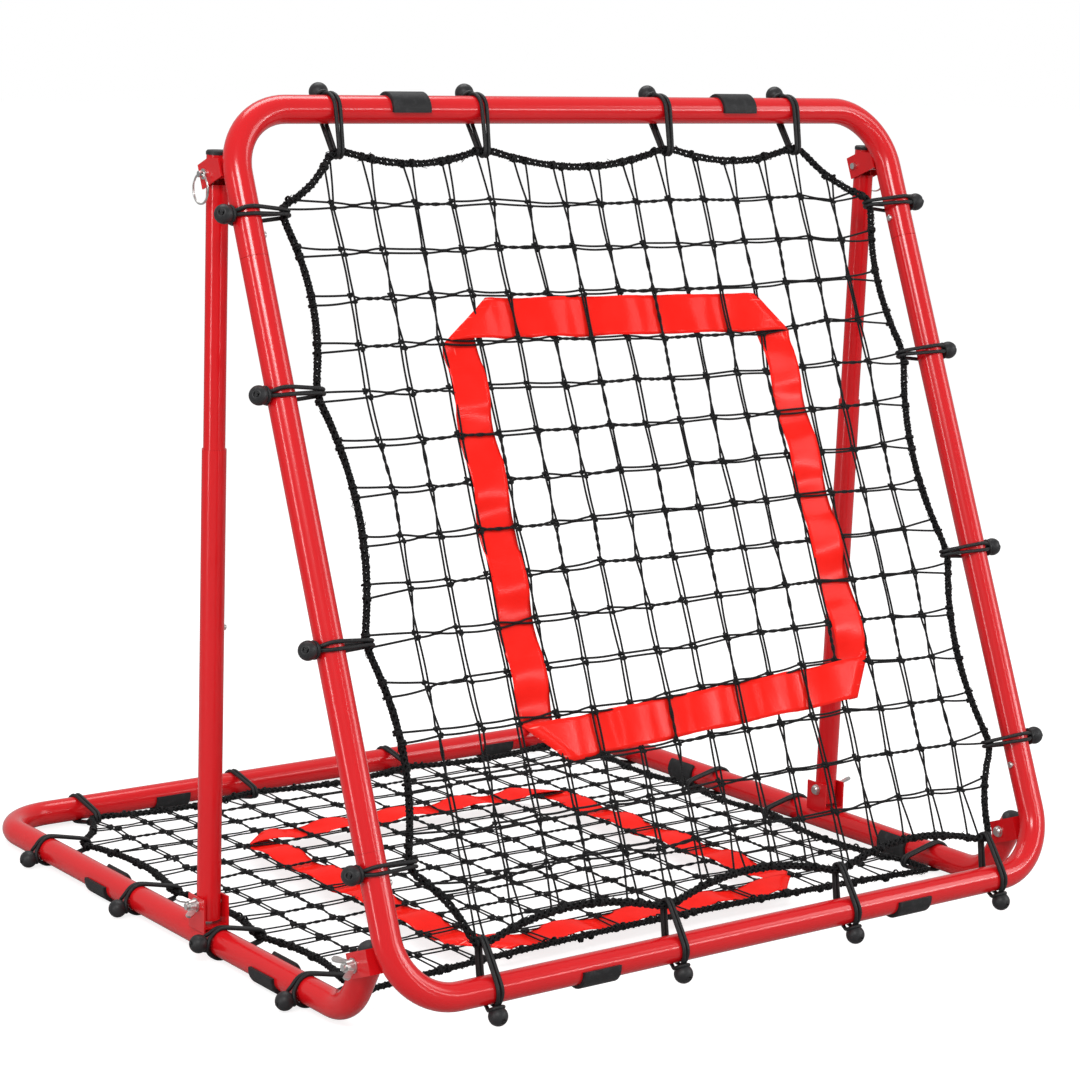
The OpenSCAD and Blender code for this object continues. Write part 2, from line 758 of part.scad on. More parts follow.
module base_side_place(y) {
  translate([-hw, y, rail_z]) rotate([90, 0, 0]) children();
}
module base_rear_places() {
  for (x = base_rear_x) translate([x, base_d, rail_z]) rotate([90, 0, -90]) children();
}
module upright_bungees() {
  color("black") at_up() {
    up_places(true) loop(up_side_gap);
    up_places(false) loop(up_end_gap);
    top_places() loop(up_end_gap);
  }
}
module upright_balls() {
  color("black") at_up() {
    up_places(true) ball(up_ball_turn);
    up_places(false) ball(up_ball_turn);
    top_places() ball(top_ball_turn);
  }
}
module base_bungees() {
  color("black") at_base() {
    for (y = base_left_y) base_side_place(y) loop(base_side_gap);
    right_side() for (y = base_right_y) base_side_place(y) loop(base_side_gap);
    base_rear_places() loop(base_rear_gap);
  }
}
module base_balls() {
  color("black") at_base() {
    for (i = [0:len(base_left_y) - 1]) base_side_place(base_left_y[i]) ball(base_left_turn[i]);
    right_side() for (y = base_right_y) base_side_place(y) ball(base_ball_turn);
    base_rear_places() ball(base_ball_turn);
  }
}

base_left_rail();
base_right_rail();
base_rear_tube();
end_plug_left();
end_plug_right();
foot_bracket_left();
foot_bracket_right();
base_pads();
base_net();
base_rope();
base_tape();
base_bungees();
base_balls();
foot_bolts();
hinge_bolts();
washers();
upright_top_bow();
upright_bottom_bow();
upright_side_left();
upright_side_right();
hinge_bracket_left();
hinge_bracket_right();
top_bracket_left();
top_bracket_right();
upright_pads();
upright_net();
upright_rope();
upright_tape();
upright_bungees();
upright_balls();
upright_springs();
up_button_top_left();
up_button_top_right();
up_button_low_left();
up_button_low_right();
post_lower_left();
post_lower_right();
post_upper_left();
post_upper_right();
post_cap_left();
post_cap_right();
post_button_left();
post_button_right();
post_spring_left();
post_spring_right();
wing_nut_hinge_left();
wing_nut_hinge_right();
wing_nut_foot_left();
wing_nut_foot_right();
top_pin_left();
top_pin_right();
split_ring_left();
split_ring_right();
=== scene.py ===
"""Pitch-back rebounder: nets, border ropes, target tapes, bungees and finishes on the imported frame.

The file is laid out as an add-on and run as a script. Lengths in the code are metres. The two nets are
drawn flat in their own planes, (across, along, out of the plane), and placed by UPRIGHT and BASE.
"""

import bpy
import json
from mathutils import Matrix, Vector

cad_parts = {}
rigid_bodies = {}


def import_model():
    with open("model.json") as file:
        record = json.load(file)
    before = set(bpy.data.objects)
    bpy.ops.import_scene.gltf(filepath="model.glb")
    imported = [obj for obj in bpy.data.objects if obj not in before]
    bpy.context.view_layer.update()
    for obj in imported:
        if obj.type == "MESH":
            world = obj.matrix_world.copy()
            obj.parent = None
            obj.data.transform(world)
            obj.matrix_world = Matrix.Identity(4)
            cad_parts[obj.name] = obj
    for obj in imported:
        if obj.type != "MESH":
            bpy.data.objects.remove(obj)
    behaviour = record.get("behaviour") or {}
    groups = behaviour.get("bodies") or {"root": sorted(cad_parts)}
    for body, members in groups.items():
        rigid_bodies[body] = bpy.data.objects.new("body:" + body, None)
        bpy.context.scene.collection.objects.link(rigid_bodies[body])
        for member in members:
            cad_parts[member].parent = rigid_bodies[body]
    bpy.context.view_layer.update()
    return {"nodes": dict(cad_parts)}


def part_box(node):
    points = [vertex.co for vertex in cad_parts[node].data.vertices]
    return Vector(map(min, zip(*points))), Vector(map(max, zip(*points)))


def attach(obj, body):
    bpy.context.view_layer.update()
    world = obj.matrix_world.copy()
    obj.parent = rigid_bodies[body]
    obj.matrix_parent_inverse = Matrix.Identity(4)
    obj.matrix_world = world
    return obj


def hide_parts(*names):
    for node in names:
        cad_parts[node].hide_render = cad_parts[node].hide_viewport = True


bl_info = {
    "name": "Pitch-back rebounder",
    "version": (1, 0, 0),
    "blender": (4, 5, 0),
    "location": "3D View > Sidebar > Rebounder",
    "description": "Dresses the rebounder's frame with its nets, ropes, tapes, bungees and finishes",
    "category": "Object",
}

import json
import math
import random

import bmesh
import bpy
import numpy as np
from bpy.props import FloatProperty, FloatVectorProperty, IntProperty, PointerProperty
from mathutils import Euler, Matrix, Vector

for leftover in list(bpy.data.objects):
    bpy.data.objects.remove(leftover)
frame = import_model()

TAU = 2 * math.pi

# ---------- the frame that the soft parts hang in ----------
# the upright leans back about its bottom tube, at (SHIFT, BOTTOM_Z); the base's tubes are at RAIL_Z.
# Widths, heights and depths are to the middles of the tubes.
LEAN = math.radians(21.5)
SHIFT = -0.499579
BOTTOM_Z = 0.053
RAIL_Z = 0.020
HALF_W = 0.478
FRAME_H = 0.988
BASE_D = 0.985
TUBE_R = 0.016
UPRIGHT = (
    Matrix.Translation((0, SHIFT, BOTTOM_Z))
    @ Matrix.Rotation(-LEAN, 4, "X")
    @ Matrix.Rotation(math.pi / 2, 4, "X")
)
BASE = Matrix.Translation((0, SHIFT, RAIL_Z))

# where the bungees are tied along each tube
UP_LEFT = [0.146, 0.387, 0.666, 0.868]
UP_RIGHT = [0.163, 0.407, 0.666, 0.864]
UP_BOTTOM = [-0.362, -0.108, 0.151, 0.391]
UP_TOP = [-0.346, -0.148, 0.122, 0.326]
BASE_LEFT = [0.186, 0.378, 0.580, 0.825]
BASE_RIGHT = [0.190, 0.465, 0.634, 0.836]
BASE_REAR = [-0.358, -0.116, 0.137, 0.388]
# the rope's distance from the tube's middle at its ties, and the width it lies straight there
UP_SIDE_GAP, UP_END_GAP = 0.046, 0.049
BASE_SIDE_GAP, BASE_REAR_GAP = 0.050, 0.055
TIE_W = 0.017
# the balls' distance from the tube's middle, and how far they sit round it from straight out
BALL_OUT = 0.0299
UP_TURN, TOP_TURN, BASE_TURN, FOOT_TURN = (math.radians(a) for a in (8, -30, 15, -8))
# the base rope's free front edge
FRONT_Y = 0.148
ROPE_STEP = 0.006
# the rope's sag as a share of a span between ties: none on a short span, less on a long one
SAG, SHORT_SPAN, LONG_SPAN = 0.085, 0.06, 0.74

# the corners of the target tapes, each as its two clipped points, anticlockwise from the bottom left
UP_TAPE = [
    ((-0.257, 0.276), (-0.201, 0.227)),
    ((0.236, 0.245), (0.268, 0.300)),
    ((0.252, 0.706), (0.211, 0.754)),
    ((-0.188, 0.763), (-0.258, 0.711)),
]
BASE_TAPE = [
    ((-0.262, 0.232), (-0.208, 0.178)),
    ((0.210, 0.176), (0.264, 0.230)),
    ((0.257, 0.700), (0.207, 0.750)),
    ((-0.207, 0.752), (-0.257, 0.702)),
]


def pairs(points, step):
    """Each tie point as two, half a tie's width to either side along step."""
    s = Vector(step)
    return [q for p in points for q in (Vector(p) - s, Vector(p) + s)]


def up_ties():
    """The upright rope's tie points, anticlockwise from the bottom left, in the net's plane."""
    h = TIE_W / 2
    side, top = HALF_W - UP_SIDE_GAP, FRAME_H - UP_END_GAP
    return (
        pairs([(x, UP_END_GAP) for x in UP_BOTTOM], (h, 0))
        + pairs([(side, s) for s in UP_RIGHT], (0, h))
        + pairs([(x, top) for x in reversed(UP_TOP)], (-h, 0))
        + pairs([(-side, s) for s in reversed(UP_LEFT)], (0, -h))
    )


def base_ties():
    """The base rope's tie points, anticlockwise from the front left, in the net's plane."""
    h = TIE_W / 2
    side, rear = HALF_W - BASE_SIDE_GAP, BASE_D - BASE_REAR_GAP
    return (
        [Vector((-side, FRONT_Y)), Vector((side, FRONT_Y))]
        + pairs([(side, y) for y in BASE_RIGHT], (0, h))
        + pairs([(x, rear) for x in reversed(BASE_REAR)], (-h, 0))
        + pairs([(-side, y) for y in reversed(BASE_LEFT)], (0, -h))
    )


def closed(points):
    """Each point with the next, and the last with the first."""
    return zip(points, points[1:] + points[:1])


def hung(ties):
    """The rope's closed path between its ties: a shallow hanging curve, straight inside each tie."""
    path = []
    for a, b in closed(ties):
        d = b - a
        span = d.length
        sag = 0.0 if span < SHORT_SPAN else SAG / (1 + (span / LONG_SPAN) ** 4)
        inward = Vector((-d.y, d.x)) / span
        n = max(2, round(span / ROPE_STEP))
        for k in range(n):
            t = k / n
            path.append(a + d * t + inward * sag * span * 4 * t * (1 - t))
    for _ in range(3):
        path = [(p + (q + r) / 2) / 2 for q, p, r in zip(path[-1:] + path[:-1], path, path[1:] + path[:1])]
    return path


# ---------- sockets as Python values ----------
class Val:
    """A node socket that takes Python's operators, each as a Math node."""

    def __init__(self, maker, socket):
        self.maker, self.socket = maker, socket

    def math(self, kind, *others):
        ins = {i: v for i, v in enumerate((self, *others))}
        return self.maker.node("ShaderNodeMath", ins, operation=kind)[0]

    def __add__(self, o):
        return self.math("ADD", o)

    def __sub__(self, o):
        return self.math("SUBTRACT", o)

    def __mul__(self, o):
        return self.math("MULTIPLY", o)

    def __truediv__(self, o):
        return self.math("DIVIDE", o)

    def sin(self):
        return self.math("SINE")

    def cos(self):
        return self.math("COSINE")

    def power(self, o):
        return self.math("POWER", o)

    def smooth(self, low, high):
        """0 below low, 1 above high, smooth between them."""
        ins = {"Value": self, "From Min": low, "From Max": high, "To Min": 0.0, "To Max": 1.0}
        return self.maker.node("ShaderNodeMapRange", ins, interpolation_type="SMOOTHSTEP")[0]

    def ramp(self, low, high):
        """low where this is 0 and high where it is 1."""
        return self * (high - low) + low


class Maker:
    """Adds nodes to one tree."""

    def __init__(self, tree):
        self.tree = tree

    def node(self, kind, inputs=None, **settings):
        """A node of that type with the values or links of its sockets. Returns its outputs."""
        n = self.tree.nodes.new(kind)
        for key, value in settings.items():
            setattr(n, key, value)
        for key, value in (inputs or {}).items():
            self.join(value, n.inputs[key])
        return [Val(self, s) for s in n.outputs]

    def join(self, value, socket):
        if isinstance(value, Val):
            self.tree.links.new(value.socket, socket)
        elif isinstance(value, list):
            for v in value:
                self.join(v, socket)
        else:
            socket.default_value = value

    def vector(self, kind, *ins):
        """A Vector Math node's vector output."""
        return self.node("ShaderNodeVectorMath", dict(enumerate(ins)), operation=kind)[0]

    def scaled(self, vector, by):
        return self.node("ShaderNodeVectorMath", {"Vector": vector, "Scale": by}, operation="SCALE")[0]


# ---------- sizes and colours ----------
def length(name, description, value):
    return FloatProperty(name=name, description=description, default=value, subtype="DISTANCE", unit="LENGTH")


def count(name, description, value, low, high):
    return IntProperty(name=name, description=description, default=value, min=low, max=high)


class RebounderSizes(bpy.types.PropertyGroup):
    cord_d: length("Net cord", "Diameter of one strand of net cord", 0.0026)
    mesh_x: length("Mesh across", "Width of one mesh", 0.0525)
    mesh_y: length("Mesh along", "Height of one mesh", 0.0543)
    rope_d: length("Border rope", "Width of the plaited border rope", 0.009)
    bungee_d: length("Bungee cord", "Diameter of the elastic cord", 0.0047)
    ball_d: length("Ball", "Diameter of the bungee balls", 0.022)
    tape_w: length("Target tape", "Width of the target tape", 0.048)
    cord_sides: count("Cord sides", "Faces round one strand of net cord", 6, 5, 12)
    seed: count("Seed", "Seed of the small differences between meshes", 11, 0, 9999)


def colour(name, description, value):
    return FloatVectorProperty(
        name=name, description=description, default=value, size=3, min=0, max=1, subtype="COLOR"
    )


class RebounderColours(bpy.types.PropertyGroup):
    paint: colour("Paint", "Powder coat of the tubes and brackets", (0.68, 0.007, 0.011))
    tape: colour("Tape", "Target tape", (0.98, 0.016, 0.010))
    cord: colour("Cord", "Net cord", (0.006, 0.006, 0.0065))
    rope: colour("Rope", "Border rope", (0.006, 0.006, 0.0065))
    bungee: colour("Bungee", "Elastic cord", (0.006, 0.006, 0.0065))
    plastic: colour("Plastic", "Balls, caps and plugs", (0.013, 0.013, 0.014))
    rubber: colour("Rubber", "Tube pads", (0.017, 0.017, 0.018))
    zinc: colour("Zinc", "Bolts, nuts, pins and rings", (0.66, 0.66, 0.67))


def sizes():
    return bpy.context.scene.rebounder_sizes


def colours():
    return bpy.context.scene.rebounder_colours


# ---------- finishes ----------
def finish(name, build, **constants):
    """A material: constants go on the shader's own sockets; build links what changes over the surface."""
    old = bpy.data.materials.get(name)
    if old:
        return old
    mat = bpy.data.materials.new(name)
    mat.use_nodes = True
    mk = Maker(mat.node_tree)
    shader = mat.node_tree.nodes["Principled BSDF"]
    for key, value in constants.items():
        shader.inputs[key.replace("_", " ")].default_value = value
    for key, value in build(mk).items():
        mk.join(value, shader.inputs[key])
    return mat


def noise(mk, where, scale, detail=2.0, rough=0.5, stretch=None):
    if stretch:
        where = mk.vector("MULTIPLY", where, stretch)
    ins = {"Vector": where, "Scale": scale, "Detail": detail, "Roughness": rough}
    return mk.node("ShaderNodeTexNoise", ins)[0]


def place(mk):
    """Object coordinates, in metres."""
    return mk.node("ShaderNodeTexCoord")[3]


def lay(mk):
    """The piece's own map: turns round the cord or across the tape, and metres along it."""
    uv = mk.node("ShaderNodeUVMap", uv_map="lay")[0]
    parts = mk.node("ShaderNodeSeparateXYZ", {0: uv})
    return parts[0], parts[1]


def blend(mk, value, a, b):
    """Colour a where value is 0 and b where it is 1. Either is a constant or comes from a node."""
    a, b = (c if isinstance(c, Val) else (*c, 1.0) for c in (a, b))
    return mk.node("ShaderNodeMix", {"Factor": value, 6: a, 7: b}, data_type="RGBA")[2]


def tones(mk, value, rgb, low, high):
    """The colour at low times its strength where value is 0 and at high where it is 1."""
    return blend(mk, value, tint(rgb, low), tint(rgb, high))


def tint(rgb, by):
    return tuple(min(1.0, c * by) for c in rgb)


def bump(mk, height, distance, strength):
    ins = {"Height": height, "Distance": distance, "Strength": strength}
    return mk.node("ShaderNodeBump", ins)[0]


def paint_finish():
    """Glossy red powder coat: a fine orange peel, faint cloudiness, and a few rubbed specks."""
    c = tuple(colours().paint)

    def build(mk):
        p = place(mk)
        cloud = noise(mk, p, 9.0, 3.0)
        peel = noise(mk, p, 420.0, 2.0)
        fine = noise(mk, p, 1900.0, 1.0)
        rub = noise(mk, p, 60.0, 5.0, 0.7, (1.0, 1.0, 0.25)).smooth(0.68, 0.80)
        base = tones(mk, cloud, c, 0.93, 1.06)
        base = blend(mk, rub * 0.25, base, tint(c, 0.62))
        return {
            "Base Color": base,
            "Roughness": cloud.ramp(0.20, 0.30) + rub * 0.2,
            "Normal": bump(mk, peel + fine * 0.35, 0.00010, 0.22),
        }

    return finish("red_powder_coat", build, Coat_Weight=0.85, Coat_Roughness=0.18, Specular_IOR_Level=0.05)


def zinc_finish():
    """Bright zinc plate: fine brushing, a slightly yellow bloom, and soft mottling, partly the plate's own
    and partly painted dark reflections.
    """
    c = tuple(colours().zinc)

    def build(mk):
        p = place(mk)
        mottle_and_painted_reflection = noise(mk, p, 260.0, 4.0, 0.6)
        brush = noise(mk, p, 900.0, 2.0, 0.5, (0.12, 1.0, 1.0))
        # painted reflection: the dark patches in the base colour stand in for dark surroundings reflected in
        # the metal; the same mottle also varies roughness and bump
        base = blend(mk, mottle_and_painted_reflection, tint(c, 0.82), (c[0] * 1.12, c[1] * 1.10, c[2] * 1.03))
        return {
            "Base Color": base,
            "Roughness": mottle_and_painted_reflection.ramp(0.24, 0.44),
            "Normal": bump(mk, brush + mottle_and_painted_reflection * 0.5, 0.00006, 0.5),
        }

    return finish("bright_zinc", build, Metallic=1.0)


def plastic_finish():
    """Black moulded plastic with a spark-eroded grain and rubbed high spots."""
    c = tuple(colours().plastic)

    def build(mk):
        p = place(mk)
        grain = noise(mk, p, 1500.0, 2.0, 0.6)
        cloud = noise(mk, p, 90.0, 3.0)
        return {
            "Base Color": tones(mk, cloud, c, 0.8, 1.9),
            "Roughness": cloud.ramp(0.36, 0.52),
            "Normal": bump(mk, grain, 0.0002, 0.5),
        }

    return finish("black_moulding", build, Specular_IOR_Level=0.35)


def rubber_finish():
    """Black rubber: dull, finely stippled, with pale dust in its grain."""
    c = tuple(colours().rubber)

    def build(mk):
        p = place(mk)
        grain = noise(mk, p, 2300.0, 2.0, 0.7)
        dust = noise(mk, p, 130.0, 5.0, 0.65).smooth(0.45, 0.75)
        return {
            "Base Color": tones(mk, dust, c, 0.9, 2.2),
            "Roughness": dust.ramp(0.50, 0.68),
            "Normal": bump(mk, grain, 0.00025, 0.6),
        }

    return finish("soft_black_rubber", build, Specular_IOR_Level=0.25)


def laid(mk, starts, spacing):
    """Rounded strands laid round a cord: 0 in the grooves between them and 1 on their crowns."""
    u, v = lay(mk)
    return ((u * (TAU * starts) + v * (TAU / spacing)).cos() * 0.5 + 0.5).power(0.6)


def cord_finish(name, rgb, starts, spacing, depth):
    """Twisted black twine: laid strands and fibres along them, with painted shade in the grooves between the
    strands and a painted polyester sheen of pale flecks on their crowns.
    """

    def build(mk):
        strand = laid(mk, starts, spacing)
        u, v = lay(mk)
        fibre = (u * (TAU * starts * 5) + v * (TAU * 4 / spacing)).sin() * 0.5 + 0.5
        fleck = noise(mk, place(mk), 1300.0, 2.0)
        # painted shade and painted sheen: the colour drops to 0.35 times in the grooves between strands and
        # rises to 2.6 times with pale flecks on their crowns
        painted_shade_and_sheen = strand * (fleck * 0.9 + 0.35)
        return {
            "Base Color": tones(mk, painted_shade_and_sheen, rgb, 0.35, 2.6),
            "Roughness": fleck.ramp(0.42, 0.68),
            "Normal": bump(mk, strand + fibre * 0.16, depth, 1.0),
        }

    return finish(name, build, Specular_IOR_Level=0.2)


def net_finish():
    return cord_finish("net_twine", tuple(colours().cord), 2, 0.0030, 0.0005)


def rope_finish():
    return cord_finish("rope_twine", tuple(colours().rope), 3, 0.0036, 0.0007)


def bungee_finish():
    """Elastic cord in a tight braided sheath: crossing carriers in small diamonds, with painted shade in the
    braid's hollows and painted highlight flecks on its crowns.
    """
    c, carriers, diamond = tuple(colours().bungee), 6, 0.0022

    def build(mk):
        u, v = lay(mk)
        round_it, along = u * (TAU * carriers), v * (TAU / diamond)
        weave = (round_it + along).sin() * (round_it - along).sin() * 0.5 + 0.5
        fleck = noise(mk, place(mk), 900.0, 2.0)
        return {
            # painted shade and painted highlight: the colour follows the braid's bump, darker in its hollows
            # and lighter with flecks on its crowns
            "Base Color": tones(mk, weave * (fleck * 0.8 + 0.4), c, 0.6, 3.0),
            "Roughness": fleck.ramp(0.34, 0.55),
            "Normal": bump(mk, weave, 0.00022, 0.8),
        }

    return finish("elastic_cord", build, Specular_IOR_Level=0.35)


def tape_finish():
    """Glossy bright PVC tape: soft ripples across it, cloudy thickness and pale creases at the folds."""
    c = tuple(colours().tape)

    def build(mk):
        u, v = lay(mk)
        across = mk.node("ShaderNodeCombineXYZ", {0: u * sizes().tape_w, 1: v, 2: 0.0})[0]
        ripple = noise(mk, across, 38.0, 3.0, 0.55, (0.35, 1.0, 1.0))
        crinkle = noise(mk, across, 150.0, 3.0, 0.6, (1.0, 1.4, 1.0))
        cloud = noise(mk, across, 24.0, 2.0)
        fold = mk.node("ShaderNodeAttribute", attribute_name="fold")[2]
        streak = noise(mk, across, 240.0, 2.0, 0.5, (1.0, 0.10, 1.0)).smooth(0.62, 0.72) * fold
        thin = (min(1.0, c[0] * 1.05), c[1] * 1.3, c[2] * 1.4)
        base = blend(mk, cloud.smooth(0.35, 0.72), tint(c, 0.96), thin)
        base = blend(mk, streak * 0.7, base, (1.0, 0.55, 0.48))
        return {
            "Base Color": base,
            "Roughness": crinkle.ramp(0.16, 0.34),
            "Normal": bump(mk, ripple + crinkle * 0.18, 0.0022, 0.5),
        }

    return finish("red_tape_film", build, Coat_Weight=0.22, Coat_Roughness=0.18, Specular_IOR_Level=0.0)


def floor_finish():
    """Plain pale floor that the camera sees as white, with the object's shadow on it."""

    def build(mk):
        seen = mk.node("ShaderNodeLightPath")[0]
        return {"Emission Color": blend(mk, seen, (0.0, 0.0, 0.0), (0.80, 0.80, 0.80))}

    grey = (0.42, 0.42, 0.42, 1.0)
    return finish("pale_floor", build, Base_Color=grey, Roughness=0.9, Emission_Strength=1.0)


# ---------- making meshes ----------
def linked(name, mesh, body, stands_for=()):
    """A finished piece: in the scene, on its body."""
    obj = bpy.data.objects.new(name, mesh)
    bpy.context.scene.collection.objects.link(obj)
    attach(obj, body)
    if stands_for:
        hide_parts(*stands_for)


def solid_mesh(name, verts, faces, **values):
    """A mesh of faces, with those values on its points."""
    mesh = bpy.data.meshes.new(name)
    mesh.from_pydata([tuple(v) for v in verts], [], faces)
    for key, numbers in values.items():
        mesh.attributes.new(key, "FLOAT", "POINT").data.foreach_set("value", numbers)
    mesh.update()
    return mesh


def path_mesh(name, paths, closed=False):
    """A mesh of polylines."""
    verts, edges = [], []
    for path in paths:
        first = len(verts)
        verts += [tuple(p) for p in path]
        edges += [(k, k + 1) for k in range(first, len(verts) - 1)]
        if closed:
            edges.append((len(verts) - 1, first))
    mesh = bpy.data.meshes.new(name)
    mesh.from_pydata(verts, edges, [])
    return mesh


def point_mesh(name, points, **attributes):
    """A mesh of loose points with vector attributes."""
    mesh = bpy.data.meshes.new(name)
    mesh.from_pydata([tuple(p) for p in points], [], [])
    for key, values in attributes.items():
        layer = mesh.attributes.new(key, "FLOAT_VECTOR", "POINT")
        layer.data.foreach_set("vector", np.array(values, np.float32).ravel())
    return mesh


def new_tree(name, build, **sockets):
    """The tree of that name, with a geometry in and out and the named inputs. Build returns its geometry."""
    tree = bpy.data.node_groups.get(name)
    if tree:
        return tree
    tree = bpy.data.node_groups.new(name, "GeometryNodeTree")
    named = {key.replace("_", " "): kind for key, kind in sockets.items()}
    kinds = {"Geometry": "Geometry", **named, "Material": "Material"}
    for key, kind in kinds.items():
        tree.interface.new_socket(name=key, in_out="INPUT", socket_type="NodeSocket" + kind)
    tree.interface.new_socket(name="Geometry", in_out="OUTPUT", socket_type="NodeSocketGeometry")
    mk = Maker(tree)
    outs = mk.node("NodeGroupInput")
    end = tree.nodes.new("NodeGroupOutput")
    ins = {s.socket.name: s for s in outs if s.socket.name}
    real = mk.node("GeometryNodeRealizeInstances", {"Geometry": build(mk, ins)})[0]
    smooth = mk.node("GeometryNodeSetShadeSmooth", {"Geometry": real})[0]
    dressed = mk.node("GeometryNodeSetMaterial", {"Geometry": smooth, "Material": ins["Material"]})[0]
    mk.join(dressed, end.inputs[0])
    return tree


def store(mk, geometry, name, value):
    ins = {"Geometry": geometry, "Name": name, "Value": value}
    return mk.node("GeometryNodeStoreNamedAttribute", ins, data_type="FLOAT", domain="POINT")[0]


def tube(mk, curve, radius, sides):
    """A round tube along a curve, with metres along it and turns round it kept on its points."""
    length = mk.node("GeometryNodeSplineParameter")[1]
    values = {"Resolution": sides, "Radius": radius}
    ring = mk.node("GeometryNodeCurvePrimitiveCircle", values, mode="RADIUS")[0]
    ring = store(mk, ring, "around", mk.node("GeometryNodeSplineParameter")[0])
    values = {"Curve": store(mk, curve, "along", length), "Profile Curve": ring, "Fill Caps": True}
    return mk.node("GeometryNodeCurveToMesh", values)[0]


def cord_tree():
    """Every polyline becomes a round cord."""

    def build(mk, ins):
        curve = mk.node("GeometryNodeMeshToCurve", {"Mesh": ins["Geometry"]})[0]
        return tube(mk, curve, ins["Radius"], ins["Sides"])

    return new_tree("Round cords", build, Radius="Float", Sides="Int")


def plait_tree():
    """A closed line becomes a round plait: three strands wind one way, three the other, over and under."""

    def build(mk, ins):
        curve = mk.node("GeometryNodeMeshToCurve", {"Mesh": ins["Geometry"]})[0]
        values = {"Curve": curve, "Length": ins["Step"]}
        curve = mk.node("GeometryNodeResampleCurve", values, mode="LENGTH")[0]
        turns = (mk.node("GeometryNodeSplineLength")[0] / ins["Lead"]).math("ROUND")
        phase = mk.node("GeometryNodeSplineParameter")[0] * turns * TAU
        side = mk.vector("CROSS_PRODUCT", (0.0, 0.0, 1.0), mk.node("GeometryNodeInputTangent")[0])
        where = mk.node("GeometryNodeInputPosition")[0]
        loose = mk.node("ShaderNodeTexNoise", {"Vector": where, "Scale": 45.0})[0].ramp(0.72, 1.28)
        strands = []
        for k in range(3):
            for way in (1, -1):
                a = phase * way + k * TAU / 3
                over = ((phase * 3.0).cos() * (ins["Crossing"] * way) + 1.0) * loose
                across = mk.scaled(side, a.cos() * ins["Half width"] * over)
                deep = mk.node("ShaderNodeCombineXYZ", {2: a.sin() * ins["Half depth"] * over})[0]
                shift = {"Geometry": curve, "Offset": mk.vector("ADD", across, deep)}
                moved = mk.node("GeometryNodeSetPosition", shift)[0]
                strands.append(tube(mk, moved, ins["Strand radius"], ins["Sides"]))
        return mk.node("GeometryNodeJoinGeometry", {0: strands})[0]

    lengths = ("Strand_radius", "Half_width", "Half_depth", "Crossing", "Lead", "Step")
    return new_tree("Plaited rope", build, **dict.fromkeys(lengths, "Float"), Sides="Int")


def scatter_tree():
    """A copy of one part on every point, turned and sized by the points' attributes."""

    def build(mk, ins):
        part = mk.node("GeometryNodeObjectInfo", {"Object": ins["Part"]}, transform_space="ORIGINAL")[4]
        turn, size = (
            mk.node("GeometryNodeInputNamedAttribute", {"Name": key}, data_type="FLOAT_VECTOR")[0]
            for key in ("turn", "size")
        )
        copies = {"Points": ins["Geometry"], "Instance": part, "Rotation": turn, "Scale": size}
        return mk.node("GeometryNodeInstanceOnPoints", copies)[0]

    return new_tree("Part on each point", build, Part="Object")


def grown(name, mesh, tree, values, place_by=None):
    """Runs a tree over a mesh. Returns the result as a plain mesh, placed in the frame, with its lay map."""
    guide = bpy.data.objects.new(name + "_guide", mesh)
    bpy.context.scene.collection.objects.link(guide)
    mod = guide.modifiers.new("tree", "NODES")
    mod.node_group = tree
    known = {s.name: s.identifier for s in tree.interface.items_tree if s.in_out == "INPUT"}
    for key, value in values.items():
        mod[known[key]] = value
    bpy.context.view_layer.update()
    dg = bpy.context.evaluated_depsgraph_get()
    grown_guide = guide.evaluated_get(dg)
    made = bpy.data.meshes.new_from_object(grown_guide, preserve_all_data_layers=True, depsgraph=dg)
    bpy.data.objects.remove(guide)
    bpy.data.meshes.remove(mesh)
    if not made.polygons:
        raise RuntimeError(name + " came out empty")
    made.name = name
    if place_by:
        made.transform(place_by)
    add_lay(made)
    made.update()
    return made


def piece(name, mesh, tree, values, body, place_by=None, stands_for=()):
    """Grows a piece from its guide mesh and puts it on its body."""
    linked(name, grown(name, mesh, tree, values, place_by), body, stands_for)


def copied(name, part, points, turns, scales, material, body, place_by=None, stands_for=()):
    """A piece made of copies of one part, which is removed afterwards."""
    mesh = point_mesh("points", points, turn=turns, size=scales)
    values = {"Part": part, "Material": material}
    piece(name, mesh, scatter_tree(), values, body, place_by, stands_for)
    drop_part(part)


def add_lay(mesh):
    """Turns the along and around attributes into a map whose seams don't run backwards."""
    if "along" not in mesh.attributes:
        return
    n = len(mesh.vertices)
    along, around = np.zeros(n, np.float32), np.zeros(n, np.float32)
    mesh.attributes["along"].data.foreach_get("value", along)
    if "around" in mesh.attributes:
        mesh.attributes["around"].data.foreach_get("value", around)
    loops = np.zeros(len(mesh.loops), np.int32)
    mesh.loops.foreach_get("vertex_index", loops)
    starts = np.zeros(len(mesh.polygons), np.int32)
    mesh.polygons.foreach_get("loop_start", starts)
    u, v = around[loops], along[loops]
    face = np.repeat(np.arange(len(starts)), np.diff(np.append(starts, len(loops))))
    for values, gap, add in ((u, 0.5, 1.0), (v, 0.2, None)):
        high = np.maximum.reduceat(values, starts)
        low = np.minimum.reduceat(values, starts)
        wrap = (high - low > gap)[face] & (values < (low + gap / 2)[face])
        values[wrap] = values[wrap] + add if add else high[face][wrap]
    uv = mesh.uv_layers.new(name="lay")
    uv.data.foreach_set("uv", np.stack([u, v], 1).astype(np.float32).ravel())


# ---------- nets ----------
AROUND = ((1, 0), (-1, 0), (0, 1), (0, -1))
# knots keep this far from the rope, and none is laced over a longer gap than LONGEST_LACE
KNOT_ROOM, LONGEST_LACE = 0.014, 0.11
